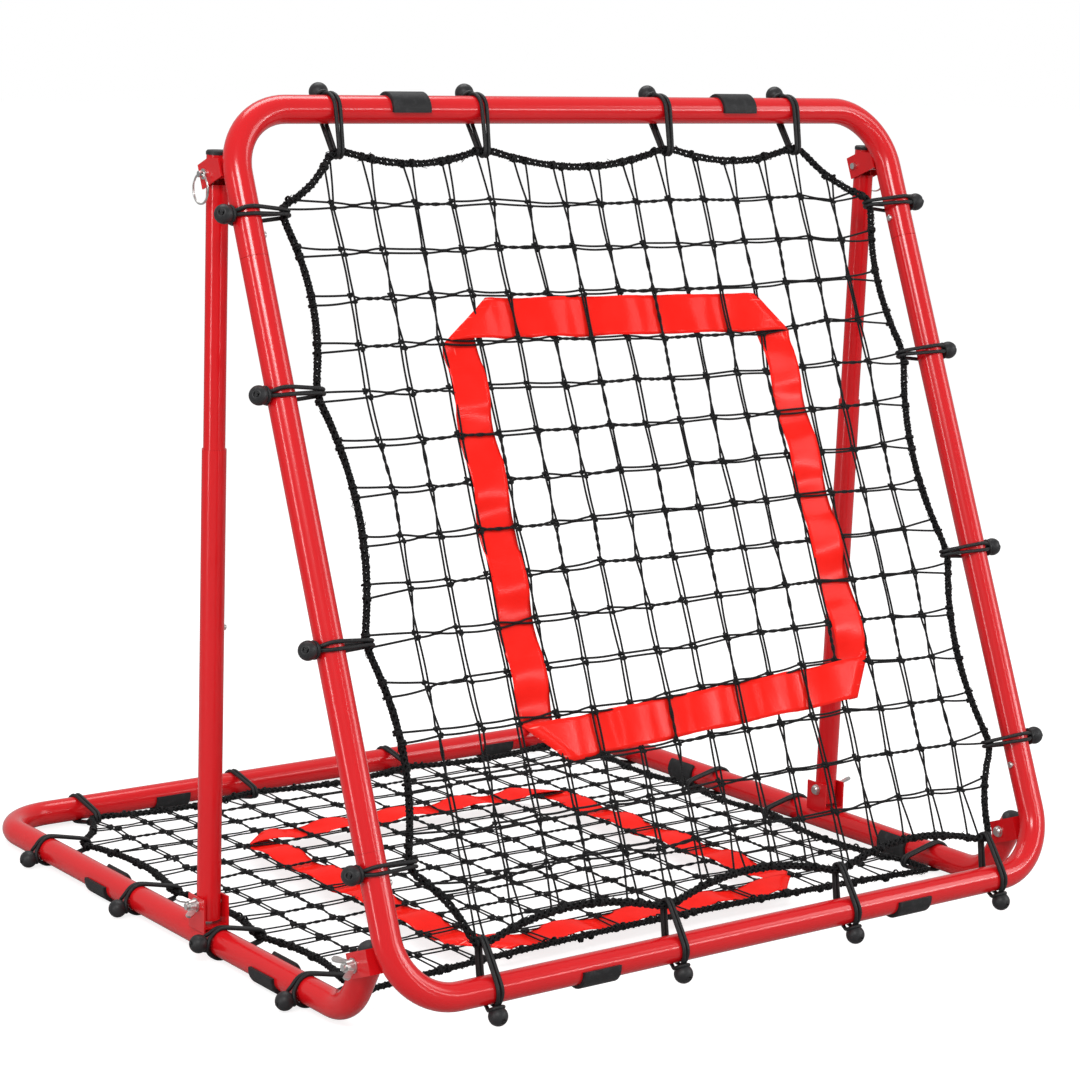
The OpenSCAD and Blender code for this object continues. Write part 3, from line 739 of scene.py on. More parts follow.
# rounds of settling, and the pull of a knot's own place against one cord's
ROUNDS, OWN_PULL = 60, 0.35
# room round a tape: past its ends, outside its edges, inside its edges, and the furthest push
TAPE_ENDS, TAPE_OUTER, TAPE_INNER, LONGEST_PUSH = 0.004, 0.002, 0.0025, 0.016
TWISTED_R = 0.00105
KNOT_SIZE, KNOT_CORD_R = 0.00098, 0.00125
LACING_R = 0.0011
FIBRES, FIBRE_R = 620, 0.00042


class Net:
    """One net: knots relaxed inside its border rope, in the net's own plane."""

    def __init__(self, rope, xs, ys, rng, strips, slack=0.0):
        self.rope, self.rng, self.knot = rope, rng, {}
        for i, x in enumerate(xs):
            for j, y in enumerate(ys):
                if self.inside(x, y, KNOT_ROOM):
                    self.knot[i, j] = Vector((x, y, 0))
        self.ends = {}
        for (i, j), p in self.knot.items():
            for di, dj in AROUND:
                if (i + di, j + dj) not in self.knot:
                    hit = self.hit(p, di, dj)
                    if hit:
                        self.ends[i, j, di, dj] = hit
        self.relax(strips)
        wide, high = max(p.x for p in rope), max(p.y for p in rope)
        self.lean = {}
        for key, p in self.knot.items():
            p.z = rng.uniform(-0.0008, 0.0008)
            left, low = 0.5 - p.x / wide / 2, 1 - p.y / high
            du = (rng.uniform(0.0014, 0.0026) + 0.0009 * low) * (1 + 0.3 * slack)
            self.lean[key] = du, rng.uniform(0.0011, 0.0022) * (1 + slack) + 0.0019 * left * left

    def inside(self, x, y, margin):
        count, near = 0, 9.0
        for a, b in closed(self.rope):
            if (a.y > y) != (b.y > y) and x < (b.x - a.x) * (y - a.y) / (b.y - a.y) + a.x:
                count += 1
            near = min(near, math.hypot(a.x - x, a.y - y))
        return count % 2 == 1 and near > margin

    def hit(self, p, di, dj):
        """Where the grid line from p in that direction meets the rope, and the rope's direction there."""
        best = None
        for a, b in closed(self.rope):
            d = b - a
            cross = di * d.y - dj * d.x
            if abs(cross) < 1e-9:
                continue
            t = ((a.x - p.x) * d.y - (a.y - p.y) * d.x) / cross
            s = ((a.x - p.x) * dj - (a.y - p.y) * di) / cross
            if t > 0 and -0.001 <= s <= 1.001 and (best is None or t < best[0]):
                best = (t, d.normalized())
        if best is None or best[0] > LONGEST_LACE:
            return None
        t, along = best
        return Vector((p.x + di * t, p.y + dj * t, 0)), Vector((along.x, along.y, 0))

    def clear(self, p, strips):
        """Moves a knot out from behind a tape to the tape's nearer edge."""
        w = sizes().tape_w
        for start, along, inward, length in strips:
            d, q = (p - start).dot(along), (p - start).dot(inward)
            if -TAPE_ENDS < d < length + TAPE_ENDS and -TAPE_OUTER < q < w + TAPE_INNER:
                to = -TAPE_OUTER if q < w / 2 else w + TAPE_INNER
                p = p + inward * max(-LONGEST_PUSH, min(LONGEST_PUSH, to - q))
        return p

    def relax(self, strips):
        """Knots settle where their four cords pull equally, and keep a little of their own place."""
        home = {k: p.copy() for k, p in self.knot.items()}
        for _ in range(ROUNDS):
            fresh = {}
            for (i, j), p in self.knot.items():
                total, weight = home[i, j] * OWN_PULL, OWN_PULL
                for di, dj in AROUND:
                    q = self.knot.get((i + di, j + dj))
                    if q is None and (i, j, di, dj) in self.ends:
                        q = self.ends[i, j, di, dj][0]
                    if q is not None:
                        total, weight = total + q, weight + 1
                fresh[i, j] = self.clear(total / weight, strips)
            self.knot = fresh
        for p in self.knot.values():
            p.x += self.rng.gauss(0, 0.0008)
            p.y += self.rng.gauss(0, 0.0009)

    def beside(self, i, j):
        """Where the two strands pass through a knot."""
        lean = Vector((*self.lean[i, j], 0))
        lean.x = -lean.x
        return [self.knot[i, j] + lean, self.knot[i, j] - lean]

    def strands(self):
        """Both strands of every cord, and the places where cords are laced to the rope."""
        rng, paths, lacing = self.rng, [], []
        for i, j in self.knot:
            here = self.beside(i, j)
            for di, dj in ((1, 0), (0, 1)):
                if (i + di, j + dj) in self.knot:
                    paths += self.pair(here, self.beside(i + di, j + dj))
            for di, dj in AROUND:
                end = self.ends.get((i, j, di, dj))
                if not end:
                    continue
                hit, along = end
                spread = rng.uniform(0.0045, 0.0085)
                ends = []
                for e in (hit - along * spread, hit + along * spread):
                    ends.append(e + Vector([rng.uniform(-1, 1) * by for by in (0.001, 0.001, 0.002)]))
                straight = (here[0] - ends[0]).length + (here[1] - ends[1]).length
                if straight > (here[0] - ends[1]).length + (here[1] - ends[0]).length:
                    ends.reverse()
                paths += self.pair(here, ends, twist=False)
                turn = math.atan2(along.y, along.x)
                lacing += [(e, turn) for e in ends]
        return paths, lacing

    def pair(self, a, b, twist=True):
        """Two strands side by side: most hang slack and apart, some are twisted together."""
        rng = self.rng
        axis = (b[0] + b[1] - a[0] - a[1]).normalized()
        across = Vector((-axis.y, axis.x, 0))
        out = Vector((0, 0, 1))
        twisted = twist and rng.random() < (0.30 if abs(axis.x) > 0.7 else 0.16)
        turns = rng.choice((1.5, 2.0, 2.5)) if twisted else rng.choice((0.0, 0.0, 0.5)) if twist else 0.0
        n = 13 if twisted else 7
        slack = [rng.uniform(-0.0010, 0.0010) for _ in range(2)]
        drop = rng.uniform(0.0002, 0.0012)
        start, stop = (a[0] - a[1]) / 2, (b[0] - b[1]) / 2
        lines = []
        for sign, bend in zip((1, -1), slack):
            line = []
            for k in range(n + 1):
                t = k / n
                bow = math.sin(math.pi * t)
                mid = (a[0] + a[1]) / 2 * (1 - t) + (b[0] + b[1]) / 2 * t
                apart = (start * (1 - t) + stop * t) * sign
                if twisted:
                    mix = bow**0.5
                    angle = TAU * turns * t
                    close = (across * math.cos(angle) + out * math.sin(angle)) * TWISTED_R * sign
                    p = mid + apart * (1 - mix) + close * mix
                elif turns:
                    p = mid + apart * abs(math.cos(math.pi * t)) + out * sign * 0.001 * bow
                else:
                    p = mid + apart + across * bend * bow
                p.y -= drop * bow
                line.append(p)
            lines.append(line)
        return lines


def knot_part():
    """A small overhand knot pulled tight, as a low closed tube."""
    path = []
    for k in range(13):
        t = TAU * k / 13
        across, up = math.sin(t) + 2 * math.sin(2 * t), math.cos(t) - 2 * math.cos(2 * t)
        turn = Vector((across, up, -1.4 * math.sin(3 * t)))
        path.append(turn * KNOT_SIZE)
    return tube_part("tight_knot", path, KNOT_CORD_R)


def ring_part():
    """Two turns of twine pulled tight round the rope, with its axis along X."""
    turns = [2 * TAU * k / 20 for k in range(20)]
    path = [Vector((0.0011 * math.cos(t / 2), 0.0047 * math.cos(t), 0.0041 * math.sin(t))) for t in turns]
    return tube_part("lacing_turn", path, LACING_R)


def tube_part(name, path, radius):
    """A closed tube through the path's points, as a hidden part to be copied."""
    n, sides = len(path), 5
    verts, faces, along, around = [], [], [], []
    normal = Vector((0.2, 0.3, 1)).normalized()
    for k, p in enumerate(path):
        tangent = (path[(k + 1) % n] - path[k - 1]).normalized()
        normal = (normal - tangent * normal.dot(tangent)).normalized()
        other = tangent.cross(normal)
        for s in range(sides):
            a = TAU * s / sides
            verts.append(p + (normal * math.cos(a) + other * math.sin(a)) * radius)
            along.append(k * 0.0011)
            around.append(s / sides)
    # the frame comes back turned, so the last ring joins the first at its nearest corner
    first = min(range(sides), key=lambda s: (verts[(n - 1) * sides] - verts[s]).length)
    for k in range(n):
        for s in range(sides):
            step = first if k == n - 1 else 0
            a, b = k * sides + s, k * sides + (s + 1) % sides
            c = ((k + 1) % n) * sides + (s + 1 + step) % sides
            d = ((k + 1) % n) * sides + (s + step) % sides
            faces.append((a, b, c, d))
    return bpy.data.objects.new(name, solid_mesh(name, verts, faces, along=along, around=around))


def drop_part(part):
    mesh = part.data
    bpy.data.objects.remove(part)
    bpy.data.meshes.remove(mesh)


def grid(x0, y0, rows):
    """The places of a net's columns and rows of knots."""
    s = sizes()
    return [x0 + s.mesh_x * k for k in range(-7, 8)], [y0 + s.mesh_y * k for k in range(rows)]


def up_grid():
    return grid(0.005, 0.1174, 15)


def base_grid():
    return grid(0.0, 0.224, 13)


def make_net(prefix, ties, cells, corners, matrix, seed, slack=0.0, thin=1.0):
    """The cords, knots and lacing of one net."""
    s, mat, rng = sizes(), net_finish(), random.Random(seed)
    net = Net(hung(ties), *cells, rng, strips(corners), slack)
    paths, lacing = net.strands()
    values = {"Radius": s.cord_d / 2 * thin, "Sides": s.cord_sides, "Material": mat}
    mesh = path_mesh("cord_paths", paths)
    piece(prefix + "_net_cords", mesh, cord_tree(), values, prefix, matrix, [prefix + "_net"])
    spots, turns, scales = [], [], []
    for key in net.knot:
        for side, spot in zip((1, -1), net.beside(*key)):
            spots.append(spot + Vector((0, 0, side * 0.0003)))
            turns.append((rng.uniform(-0.3, 0.3), rng.uniform(-0.3, 0.3), rng.uniform(0, 2.1)))
            grow = rng.uniform(0.92, 1.12) * (1 + 0.35 * slack)
            scales.append((grow * rng.uniform(0.9, 1.15), grow, grow))
    copied(prefix + "_net_knots", knot_part(), spots, turns, scales, mat, prefix, matrix)
    turns = [(rng.uniform(-3, 3), 0.0, a + rng.uniform(-0.25, 0.25)) for _, a in lacing]
    scales = [(rng.uniform(0.8, 1.7), 1.0, 1.0) for _ in lacing]
    spots = [p for p, _ in lacing]
    copied(prefix + "_lacing", ring_part(), spots, turns, scales, mat, prefix, matrix)


def make_rope(prefix, ties, matrix):
    """The plaited rope round one net, with its loose fibres."""
    s, mat = sizes(), rope_finish()
    line = [Vector((p.x, p.y, 0)) for p in hung(ties)]
    plait = {
        "Strand radius": s.rope_d * 0.145,
        "Half width": s.rope_d * 0.34,
        "Half depth": s.rope_d * 0.29,
        "Crossing": 0.26,
        "Lead": 0.024,
        "Step": 0.0024,
        "Sides": 6,
        "Material": mat,
    }
    mesh = path_mesh("rope_path", [line], closed=True)
    name, node = prefix + "_border_rope", prefix + "_rope"
    piece(name, mesh, plait_tree(), plait, prefix, matrix, [node])
    mesh = path_mesh("fibre_paths", loose_fibres(line, random.Random(s.seed + len(line))))
    values = {"Radius": FIBRE_R, "Sides": 4, "Material": mat}
    piece(prefix + "_rope_fibres", mesh, cord_tree(), values, prefix, matrix)


def loose_fibres(line, rng):
    """Short ends of twine standing off the rope all round."""
    lines = []
    for _ in range(FIBRES):
        k = rng.randrange(len(line))
        p, q = line[k], line[(k + 1) % len(line)]
        along = (q - p).normalized() * rng.choice((-1, 1))
        side, a = Vector((-along.y, along.x, 0)), rng.uniform(0, TAU)
        away = side * math.cos(a) * 1.25 + Vector((0, 0, math.sin(a)))
        base = p.lerp(q, rng.random()) + away * 0.0028
        length = rng.uniform(0.004, 0.009)
        mid = base + along * length * 0.5 + away * rng.uniform(0.0006, 0.0016)
        tip = base + along * length + away * rng.uniform(-0.0004, 0.0027) + side * rng.uniform(-0.001, 0.001)
        lines.append([base, mid, tip])
    return lines


# ---------- target tapes ----------
TAPE_T = 0.00044
TAPE_STEP = 0.0045
# half the distance between the two layers of a fold, and the tape's height over a cord
LAYER, TAPE_LIFT = 0.0006, 0.0034
# how far from a fold the layers come together, spread apart and show the crease
JOIN, SPREAD, CREASE = 0.016, 0.0018, 0.030


def strips(corners):
    """Each strip of a tape ring: its outer edge's start and direction, its way inward and its length."""
    out = []
    for (_, start), (end, _) in closed(corners):
        start, end = Vector((*start, 0)), Vector((*end, 0))
        along = (end - start).normalized()
        out.append((start, along, Vector((-along.y, along.x, 0)), (end - start).length))
    return out


def tape_ring(prefix, corners, weave, matrix, seed):
    """Four flat strips folded over at their corners, passing in front of one cord and behind the next."""
    rng = random.Random(seed)
    w, cols, half = sizes().tape_w, 10, Vector((0, 0, TAPE_T / 2))
    m = cols + 1
    verts, faces, uvs, folds = [], [], [], []
    for side, ((start, along, inward, length), (a, b)) in enumerate(zip(strips(corners), closed(corners))):
        # the outer edge runs between the clipped corners; the folds carry on across the strip
        fold_a = Vector((*a[0], 0)) - start
        fold_b = Vector((*b[1], 0)) - start - along * length
        reach_a, reach_b = fold_a.dot(inward) / w, fold_b.dot(inward) / w
        rows = max(8, round(length / TAPE_STEP))
        layer = -LAYER if side % 2 else LAYER
        first = len(verts)
        phase = rng.uniform(0, 6)
        strip = []
        for r in range(rows + 1):
            for c in range(m):
                f = c / cols
                x0 = fold_a.dot(along) * min(1.0, f / reach_a)
                x1 = length + fold_b.dot(along) * min(1.0, f / reach_b)
                d = x0 + (x1 - x0) * (r / rows)
                edge = rng.uniform(-0.00015, 0.00015)
                outer = 0.0008 * math.sin(d * 55 + phase)
                inner = 0.0007 * math.sin(d * 71 + phase * 2 + 1.5)
                p = start + along * d + inward * (w * f + outer * (1 - f) + inner * f + edge)
                ends = min(d - x0, x1 - d)
                # the two layers come together at the fold
                near = max(0.0, 1 - ends / JOIN)
                near = near * near * (3 - 2 * near)
                p.z = weave(side, p) * (1 - near) + layer * min(1.0, ends / SPREAD)
                p.z += 0.0004 * math.sin(d * 90 + phase + 3 * f) * (1 - near)
                strip.append(p)
                uvs.append((f, d + side * 0.7))
                folds.append(max(0.0, 1 - ends / CREASE))
        verts += [p + half for p in strip] + [p - half for p in strip]
        uvs += uvs[first:]
        folds += folds[first:]
        under = len(strip)
        cells = [first + r * m + c for r in range(rows) for c in range(cols)]
        faces += [(k, k + m, k + m + 1, k + 1) for k in cells]
        faces += [tuple(under + v for v in (k, k + 1, k + m + 1, k + m)) for k in cells]
        # the rim, round the upper layer's edge
        rim = [first + r * m for r in range(rows)] + [first + rows * m + c for c in range(cols)]
        rim += [first + r * m + cols for r in range(rows, 0, -1)] + [first + c for c in range(cols, 0, -1)]
        faces += [(a, a + under, b + under, b) for a, b in closed(rim)]
    name = prefix + "_target_tape"
    mesh = solid_mesh(name, verts, faces, fold=folds)
    uv = mesh.uv_layers.new(name="lay")
    for loop in mesh.loops:
        uv.data[loop.index].uv = uvs[loop.vertex_index]
    mesh.transform(matrix)
    mesh.shade_smooth()
    mesh.materials.append(tape_finish())
    linked(name, mesh, prefix, [prefix + "_tape"])


def over_under(xs, ys, across, up):
    """Height of a tape above its net: over one cord, under the next, and steady past the last it meets."""

    def weave(side, p):
        values, q, span, sign = (ys, p.y, up, 1) if side % 2 else (xs, p.x, across, -1)
        k = (q - values[0]) / (values[1] - values[0])
        level = math.cos(math.pi * min(max(k, span[0]), span[1]))
        # flatter over and under the cords than a plain wave
        return sign * TAPE_LIFT * math.copysign(abs(level) ** 0.75, level)

    return weave


# ---------- bungees ----------
ROPE_R = 0.0049
# the cord's clearance from what it passes round, and its radius round the ball's neck
TOUCH, NECK_R = 0.0001, 0.0094


def ball_spot(turn):
    """The ball's middle in its bungee's own frame."""
    return Vector((-BALL_OUT * math.cos(turn), -BALL_OUT * math.sin(turn), 0))


def bungee_path(gap, turn, spread, rng):
    """A bungee's path in its own frame, the tube at the origin and the rope at (gap, 0).

    It leaves the ball, goes over the front of the tube to the rope and round it, comes back behind the
    tube, passes round the ball's neck, and returns the same way on the other side."""
    r = sizes().bungee_d / 2
    r1, r2 = TUBE_R + r + TOUCH, ROPE_R + r
    beta = math.acos((r1 - r2) / gap)
    ball = ball_spot(turn)
    to_tube = -ball.normalized()
    across = Vector((to_tube.y, -to_tube.x, 0))
    wide, tight = r + TOUCH + spread + rng.uniform(0, 0.0005), r + TOUCH

    def at(radius, a, c, x=0.0):
        return Vector((x + radius * math.cos(a), radius * math.sin(a), c))

    def straight(x0, x1):
        return [x0.lerp(x1, k / 6) for k in range(1, 6)]

    def front(sign):
        """From the ball over the front of the tube to the rope's far side."""
        c0 = sign * wide
        pts = [
            ball + to_tube * 0.0060 + Vector((0, 0, c0 * 0.25)),
            ball + to_tube * 0.0105 + across * 0.001 + Vector((0, 0, c0 * 0.45)),
        ]
        begin, end = math.pi + turn + 0.42, TAU - beta
        for k in range(10):
            lift = 0.0012 * math.exp(-k * 1.2)
            pts.append(at(r1 + lift, begin + (end - begin) * k / 9, c0 * (0.55 + 0.45 * min(1, k / 4))))
        return pts + straight(at(r1, -beta, c0), at(r2, -beta, sign * tight, gap))

    def round_rope(sign):
        turns = [-beta + 2 * beta * k / 8 for k in range(9)]
        return [at(r2, a, sign * tight + 0.0006 * math.sin(3 * a), gap) for a in turns]

    def back(sign):
        """From the rope behind the tube to the ball's neck."""
        c0, end = sign * wide, math.pi + turn - 0.50
        pts = straight(at(r2, beta, sign * tight, gap), at(r1, beta, c0))
        return pts + [at(r1, beta + (end - beta) * k / 7, c0 * (1 + 0.5 * k / 7)) for k in range(8)]

    # the neck lies round the ball's near side, in the wedge between ball and tube
    neck = ball + to_tube * 0.0082
    turns = [math.radians(38 + 284 * k / 10) for k in range(11)]
    loop = [neck - across * NECK_R * math.cos(a) + Vector((0, 0, NECK_R * math.sin(a))) for a in turns]
    last = back(-1)[::-1] + round_rope(-1)[::-1] + front(-1)[::-1]
    return front(1) + round_rope(1) + back(1) + loop + last


def eased(points):
    """An open polyline with its corners eased twice and its ends kept."""
    for _ in range(2):
        inner = [(a + b * 2 + c) / 4 for a, b, c in zip(points, points[1:], points[2:])]
        points = [points[0], *inner, points[-1]]
    return points


def seats(kind):
    """Every bungee's own frame, gap, ball's turn and spread.

    In the frame x goes to the net, y to the back or up and z along the tube."""
    move, quarter, mirror = Matrix.Translation, math.pi / 2, Matrix.Diagonal((-1, 1, 1, 1))
    out = []
    if kind == "upright":
        at = move((0, SHIFT, BOTTOM_Z)) @ Matrix.Rotation(-LEAN, 4, "X")
        for x, ties, way in ((-HALF_W, UP_LEFT, Matrix()), (HALF_W, UP_RIGHT, mirror)):
            out += [(at @ move((x, 0, s)) @ way, UP_SIDE_GAP, UP_TURN, 0.0014) for s in ties]
        ends = ((0, UP_BOTTOM, -1, UP_TURN, 0.0001), (FRAME_H, UP_TOP, 1, TOP_TURN, 0.0005))
        for z, ties, way, turn, spread in ends:
            facing = Matrix.Rotation(way * quarter, 4, "Y")
            out += [(at @ move((x, 0, z)) @ facing, UP_END_GAP, turn, spread) for x in ties]
    else:
        at, flat = move((0, SHIFT, RAIL_Z)), Matrix.Rotation(quarter, 4, "X")
        for x, ties, way in ((-HALF_W, BASE_LEFT, Matrix()), (HALF_W, BASE_RIGHT, mirror)):
            for y in ties:
                # the ball beside the foot bracket hangs lower
                turn = FOOT_TURN if (x < 0 and y == BASE_LEFT[1]) else BASE_TURN
                out.append((at @ move((x, y, 0)) @ way @ flat, BASE_SIDE_GAP, turn, 0.0))
        rear = Matrix.Rotation(-quarter, 4, "Z") @ flat
        out += [(at @ move((x, BASE_D, 0)) @ rear, BASE_REAR_GAP, BASE_TURN, 0.0) for x in BASE_REAR]
    return out


def make_bungees(kind):
    """The elastic loops of one frame, each with its ball."""
    s = sizes()
    rng = random.Random(s.seed + (20 if kind == "base" else 10))
    paths, balls, turns = [], [], []
    for at, gap, turn, spread in seats(kind):
        paths.append([at @ p for p in eased(bungee_path(gap, turn, spread, rng))])
        ball = ball_spot(turn)
        # the upright's side and bottom balls show their recess to the front
        shown = math.radians(38) if turn > 0.05 and kind == "upright" else 0.0
        facing = Matrix.Rotation(shown, 3, "Z") @ ball
        axis = (at.to_3x3() @ -facing).normalized()
        balls.append(at @ ball)
        roll = Euler((0, 0, rng.uniform(0, 6.28))).to_quaternion()
        turns.append(tuple((axis.to_track_quat("Z", "X") @ roll).to_euler()))
        paths += [[at @ p for p in line] for line in stub_ends(ball, facing, rng)]
    mesh = path_mesh("bungee_paths", paths)
    values = {"Radius": s.bungee_d / 2, "Sides": 8, "Material": bungee_finish()}
    piece(kind + "_bungee_cords", mesh, cord_tree(), values, kind, None, [kind + "_bungees"])
    name, node, scales = kind + "_bungee_balls", kind + "_balls", [(1.0, 1.0, 1.0)] * len(balls)
    copied(name, ball_part(), balls, turns, scales, plastic_finish(), kind, None, [node])


def stub_ends(ball, facing, rng):
    """The cord's knotted ends in the ball's outer recess."""
    out = facing.normalized()
    side = Vector((-out.y, out.x, 0))
    lines = []
    for sign in (1, -1):
        apart = Vector((0, 0, sign * 0.0014))
        base = ball + out * 0.0060 + apart
        tip = ball + out * (0.0098 + rng.uniform(0, 0.0008)) + side * sign * 0.0008 + apart
        lines.append([base, base.lerp(tip, 0.5) + side * 0.0004, tip])
    return lines


def ball_part():
    """A bored plastic ball: its parting line, the outer recess at -Z and the cord's way out at +Z."""
    R = sizes().ball_d / 2
    groove = R - 0.00028
    profile = [(0.0, -R + 0.0045), (0.0032, -R + 0.0045), (0.0034, -R + 0.0010)]
    start = math.asin(0.0042 / R)
    end = math.pi - math.asin(0.0050 / R)
    steps, n = 22, 32
    for k in range(steps + 1):
        a = start + (end - start) * k / steps
        if abs(a - math.pi / 2) < 0.02:
            profile += [(R, -0.0005), (groove, -0.0002), (groove, 0.0002), (R, 0.0005)]
        else:
            profile.append((R * math.sin(a), -R * math.cos(a)))
    profile += [(0.0040, R - 0.0010), (0.0037, R - 0.0040), (0.0, R - 0.0044)]
    turns = [TAU * k / n for k in range(n)]
    verts = [(0, 0, profile[0][1])]
    for r, z in profile[1:-1]:
        verts += [(r * math.cos(a), r * math.sin(a), z) for a in turns]
    verts.append((0, 0, profile[-1][1]))
    rings, last = len(profile) - 2, len(verts) - 1
    faces = []
    for k in range(n):
        a, b = 1 + k, 1 + (k + 1) % n
        top = (rings - 1) * n
        faces += [(0, b, a), (last, top + a, top + b)]
        faces += [(j * n + a, j * n + b, j * n + b + n, j * n + a + n) for j in range(rings - 1)]
    return bpy.data.objects.new("bored_ball", solid_mesh("bored_ball", verts, faces))


# ---------- split rings ----------
def make_split_rings():
    """Flat wire wound twice round, its ends stepped over each other."""
    radius, n, wide, thick, apart = 0.0163, 120, 0.0009, 0.00055, 0.00116
    corners = [(wide, thick / 2), (wide * 0.6, thick), (-wide * 0.6, thick), (-wide, thick / 2)]
    profile = corners + [(-u, -v) for u, v in corners]
    m = len(profile)
    for side, sign in (("left", -1), ("right", 1)):
        lo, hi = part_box("split_ring_" + side)
        centre = (lo + hi) / 2
        verts, faces = [], []
        for k in range(n + 1):
            t = k / n
            a = 2 * TAU * t + 1.1 + sign * 0.6
            # two level turns, with a short step where one crosses to the other
            step = min(1.0, max(0.0, (t - 0.46) / 0.08))
            x = sign * apart * (step - 0.5)
            for u, v in profile:
                r = radius + u
                verts.append((centre.x + x + v, centre.y + r * math.cos(a), centre.z + r * math.sin(a)))
        for k in range(0, n * m, m):
            faces += [(k + s, k + (s + 1) % m, k + m + (s + 1) % m, k + m + s) for s in range(m)]
        faces += [tuple(range(m))[::-1], tuple(range(n * m, (n + 1) * m))]
        name = "split_ring_wire_" + side
        mesh = solid_mesh(name, verts, faces)
        make_outward(mesh)
        mesh.shade_smooth()
        mesh.materials.append(zinc_finish())
        linked(name, mesh, "split_ring_" + side, ["split_ring_" + side])


def make_outward(mesh):
    """Turns the mesh's faces outwards."""
    bm = bmesh.new()
    bm.from_mesh(mesh)
    bmesh.ops.recalc_face_normals(bm, faces=bm.faces)
    bm.to_mesh(mesh)
    bm.free()


# ---------- operators ----------
# name, place, aim's height, watts, width, height
LAMPS = (
    ("key_softbox", (-2.4, -2.6, 2.9), 0.4, 66, 1.3, 0.8),
    ("fill_softbox", (2.8, -2.2, 1.9), 0.4, 24, 1.2, 1.6),
    ("top_softbox", (0.3, 0.9, 3.3), 0.2, 42, 2.2, 1.2),
    ("left_strip", (-3.3, -0.6, 0.85), 0.5, 26, 0.26, 2.4),
    ("front_strip", (0.5, -3.6, 0.85), 0.5, 11, 0.18, 2.4),
    ("low_strip", (2.1, -2.9, 1.25), 0.6, 15, 1.6, 0.22),
)
ROOM_LIGHT = 0.50
# the camera's place, its turn, tilt and roll in degrees, and its lens in pixels of a square frame
CAMERA_AT = (-1.99306, -2.81280, 1.04397)
CAMERA_TURN = (-36.18, 10.82, 1.10)
FRAME_PX, FOCAL_PX, CENTRE_X, CENTRE_Y = 1080.0, 2768.9, 544.30, 577.37
SENSOR = 36.0
FINISH_WORDS = (
    ("pads", rubber_finish), ("plug", plastic_finish), ("cap", plastic_finish), ("bolt", zinc_finish),
    ("washer", zinc_finish), ("nut", zinc_finish), ("pin", zinc_finish), ("button", zinc_finish),
    ("spring", zinc_finish), ("ring", zinc_finish),
)


class StageOperator(bpy.types.Operator):
    """Floor, lights, world and camera"""

    bl_idname = "rebounder.stage"
    bl_label = "Stage"

    def execute(self, context):
        scene = context.scene
        scene.view_settings.view_transform = "Standard"
        half = 40.0
        corners = [(-half, -half, 0), (half, -half, 0), (half, half, 0), (-half, half, 0)]
        mesh = solid_mesh("floor", corners, [(0, 1, 2, 3)])
        floor = bpy.data.objects.new("floor", mesh)
        mesh.materials.append(floor_finish())
        scene.collection.objects.link(floor)
        for name, spot, aim, power, wide, high in LAMPS:
            lamp = bpy.data.lights.new(name, "AREA")
            lamp.shape, lamp.size, lamp.size_y, lamp.energy = "RECTANGLE", wide, high, power
            obj = bpy.data.objects.new(name, lamp)
            obj.location = spot
            obj.rotation_euler = (Vector(spot) - Vector((0, 0, aim))).to_track_quat("Z", "Y").to_euler()
            scene.collection.objects.link(obj)
        self.world(scene)
        self.camera(scene)
        return {"FINISHED"}

    def world(self, scene):
        world = bpy.data.worlds.new("white_room")
        world.use_nodes = True
        scene.world = world
        mk = Maker(world.node_tree)
        seen = mk.node("ShaderNodeLightPath")[0]
        background = world.node_tree.nodes["Background"]
        background.inputs["Color"].default_value = (1.0, 1.0, 1.0, 1.0)
        mk.join(seen.ramp(ROOM_LIGHT, 1.0), background.inputs["Strength"])

    def camera(self, scene):
        data = bpy.data.cameras.new("camera")
        cam = bpy.data.objects.new("camera", data)
        scene.collection.objects.link(cam)
        a, e, roll = (math.radians(d) for d in CAMERA_TURN)
        back = Vector((math.sin(a) * math.cos(e), -math.cos(a) * math.cos(e), math.sin(e)))
        right = Vector((math.cos(a), math.sin(a), 0))
        up = back.cross(right)
        cos, sin = math.cos(roll), math.sin(roll)
        right, up = right * cos + up * sin, up * cos - right * sin
        turn = Matrix((right, up, back)).transposed().to_4x4()
        cam.matrix_world = Matrix.Translation(CAMERA_AT) @ turn
        data.sensor_width = SENSOR
        data.lens = FOCAL_PX * SENSOR / FRAME_PX
        data.shift_x = 0.5 - CENTRE_X / FRAME_PX
        data.shift_y = CENTRE_Y / FRAME_PX - 0.5
        data.clip_start, data.clip_end = 0.05, 60.0
        scene.camera = cam


class FinishesOperator(bpy.types.Operator):
    """Finishes on the tubes, brackets, pads, plugs and fasteners"""

    bl_idname = "rebounder.finishes"
    bl_label = "Finishes"

    def execute(self, context):
        for name, obj in frame["nodes"].items():
            kind = next((k for word, k in FINISH_WORDS if word in name), paint_finish)
            obj.data.materials.clear()
            obj.data.materials.append(kind())
        return {"FINISHED"}


class NetsOperator(bpy.types.Operator):
    """Both nets: doubled twine, knots and lacing"""

    bl_idname = "rebounder.nets"
    bl_label = "Nets"

    def execute(self, context):
        seed = sizes().seed
        make_net("upright", up_ties(), up_grid(), UP_TAPE, UPRIGHT, seed)
        make_net("base", base_ties(), base_grid(), BASE_TAPE, BASE, seed + 5, slack=1.0, thin=0.78)
        return {"FINISHED"}


class RopesOperator(bpy.types.Operator):
    """Plaited border ropes"""

    bl_idname = "rebounder.ropes"
    bl_label = "Border ropes"

    def execute(self, context):
        make_rope("upright", up_ties(), UPRIGHT)
        make_rope("base", base_ties(), BASE)
        return {"FINISHED"}


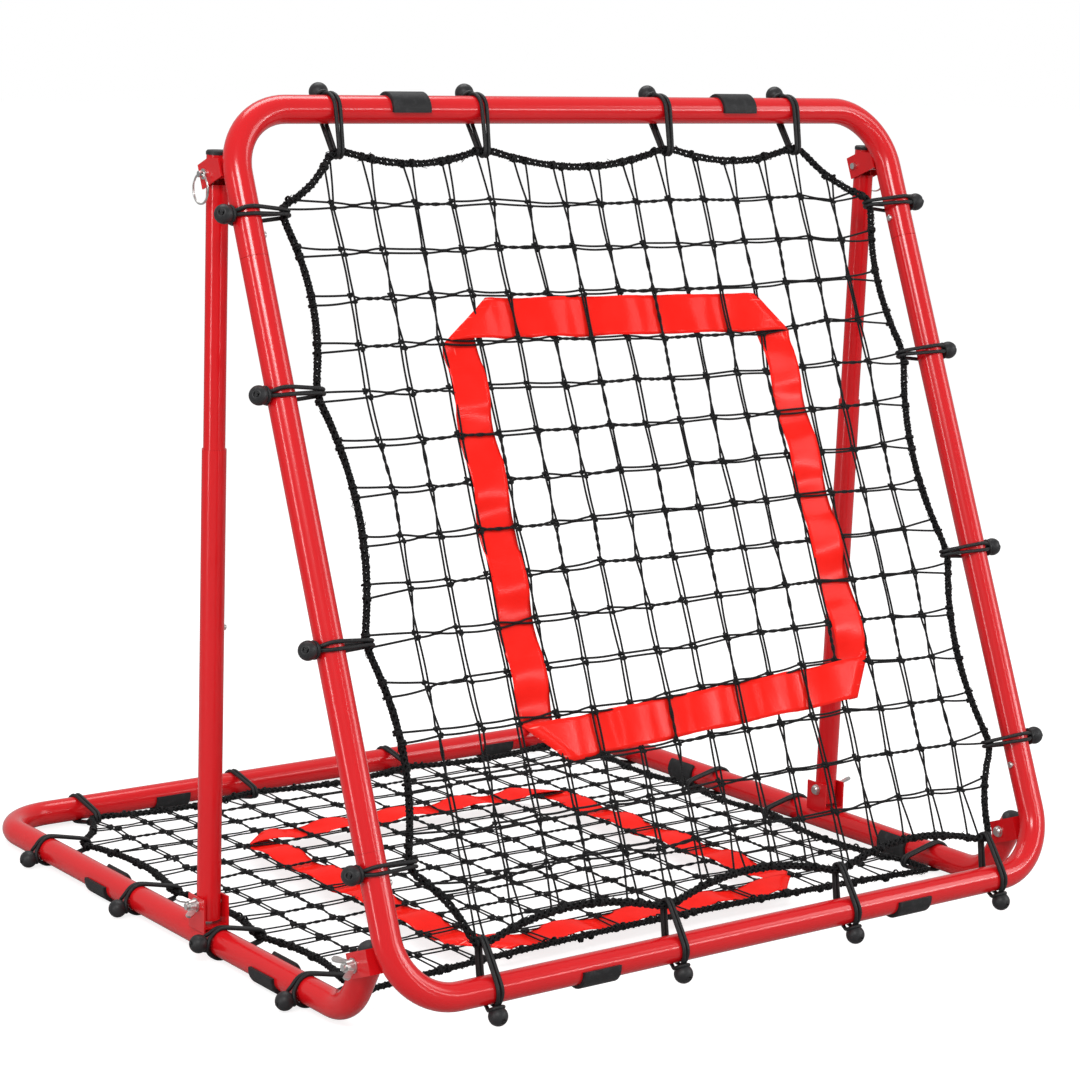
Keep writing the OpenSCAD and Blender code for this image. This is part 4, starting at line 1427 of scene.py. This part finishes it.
class TapesOperator(bpy.types.Operator):
    """Red target tapes woven through the nets"""

    bl_idname = "rebounder.tapes"
    bl_label = "Target tapes"

    def execute(self, context):
        seed = sizes().seed
        tape_ring("upright", UP_TAPE, over_under(*up_grid(), (3, 11), (3, 11)), UPRIGHT, seed + 31)
        tape_ring("base", BASE_TAPE, over_under(*base_grid(), (3, 11), (0, 9)), BASE, seed + 47)
        return {"FINISHED"}


class BungeesOperator(bpy.types.Operator):
    """Elastic loops with their balls"""

    bl_idname = "rebounder.bungees"
    bl_label = "Bungees"

    def execute(self, context):
        make_bungees("upright")
        make_bungees("base")
        return {"FINISHED"}


class RingsOperator(bpy.types.Operator):
    """Split rings on the top pins"""

    bl_idname = "rebounder.rings"
    bl_label = "Split rings"

    def execute(self, context):
        make_split_rings()
        return {"FINISHED"}


OPERATORS = (
    StageOperator, FinishesOperator, NetsOperator, RopesOperator, TapesOperator, BungeesOperator,
    RingsOperator,
)


class RebounderPanel(bpy.types.Panel):
    """The rebounder's pieces, sizes and colours"""

    bl_idname = "VIEW3D_PT_rebounder"
    bl_label = "Rebounder"
    bl_space_type = "VIEW_3D"
    bl_region_type = "UI"
    bl_category = "Rebounder"

    def draw(self, context):
        for group in (context.scene.rebounder_sizes, context.scene.rebounder_colours):
            box = self.layout.box()
            for key in group.__annotations__:
                box.prop(group, key)
        for op in OPERATORS:
            self.layout.operator(op.bl_idname)


def register():
    for cls in (RebounderSizes, RebounderColours, *OPERATORS, RebounderPanel):
        bpy.utils.register_class(cls)
    bpy.types.Scene.rebounder_sizes = PointerProperty(type=RebounderSizes)
    bpy.types.Scene.rebounder_colours = PointerProperty(type=RebounderColours)


def unregister():
    del bpy.types.Scene.rebounder_colours
    del bpy.types.Scene.rebounder_sizes
    for cls in (RebounderPanel, *reversed(OPERATORS), RebounderColours, RebounderSizes):
        bpy.utils.unregister_class(cls)


def main():
    register()
    for op in OPERATORS:
        getattr(bpy.ops.rebounder, op.bl_idname.split(".")[1])()
    bpy.context.view_layer.update()


if __name__ == "__main__":
    main()
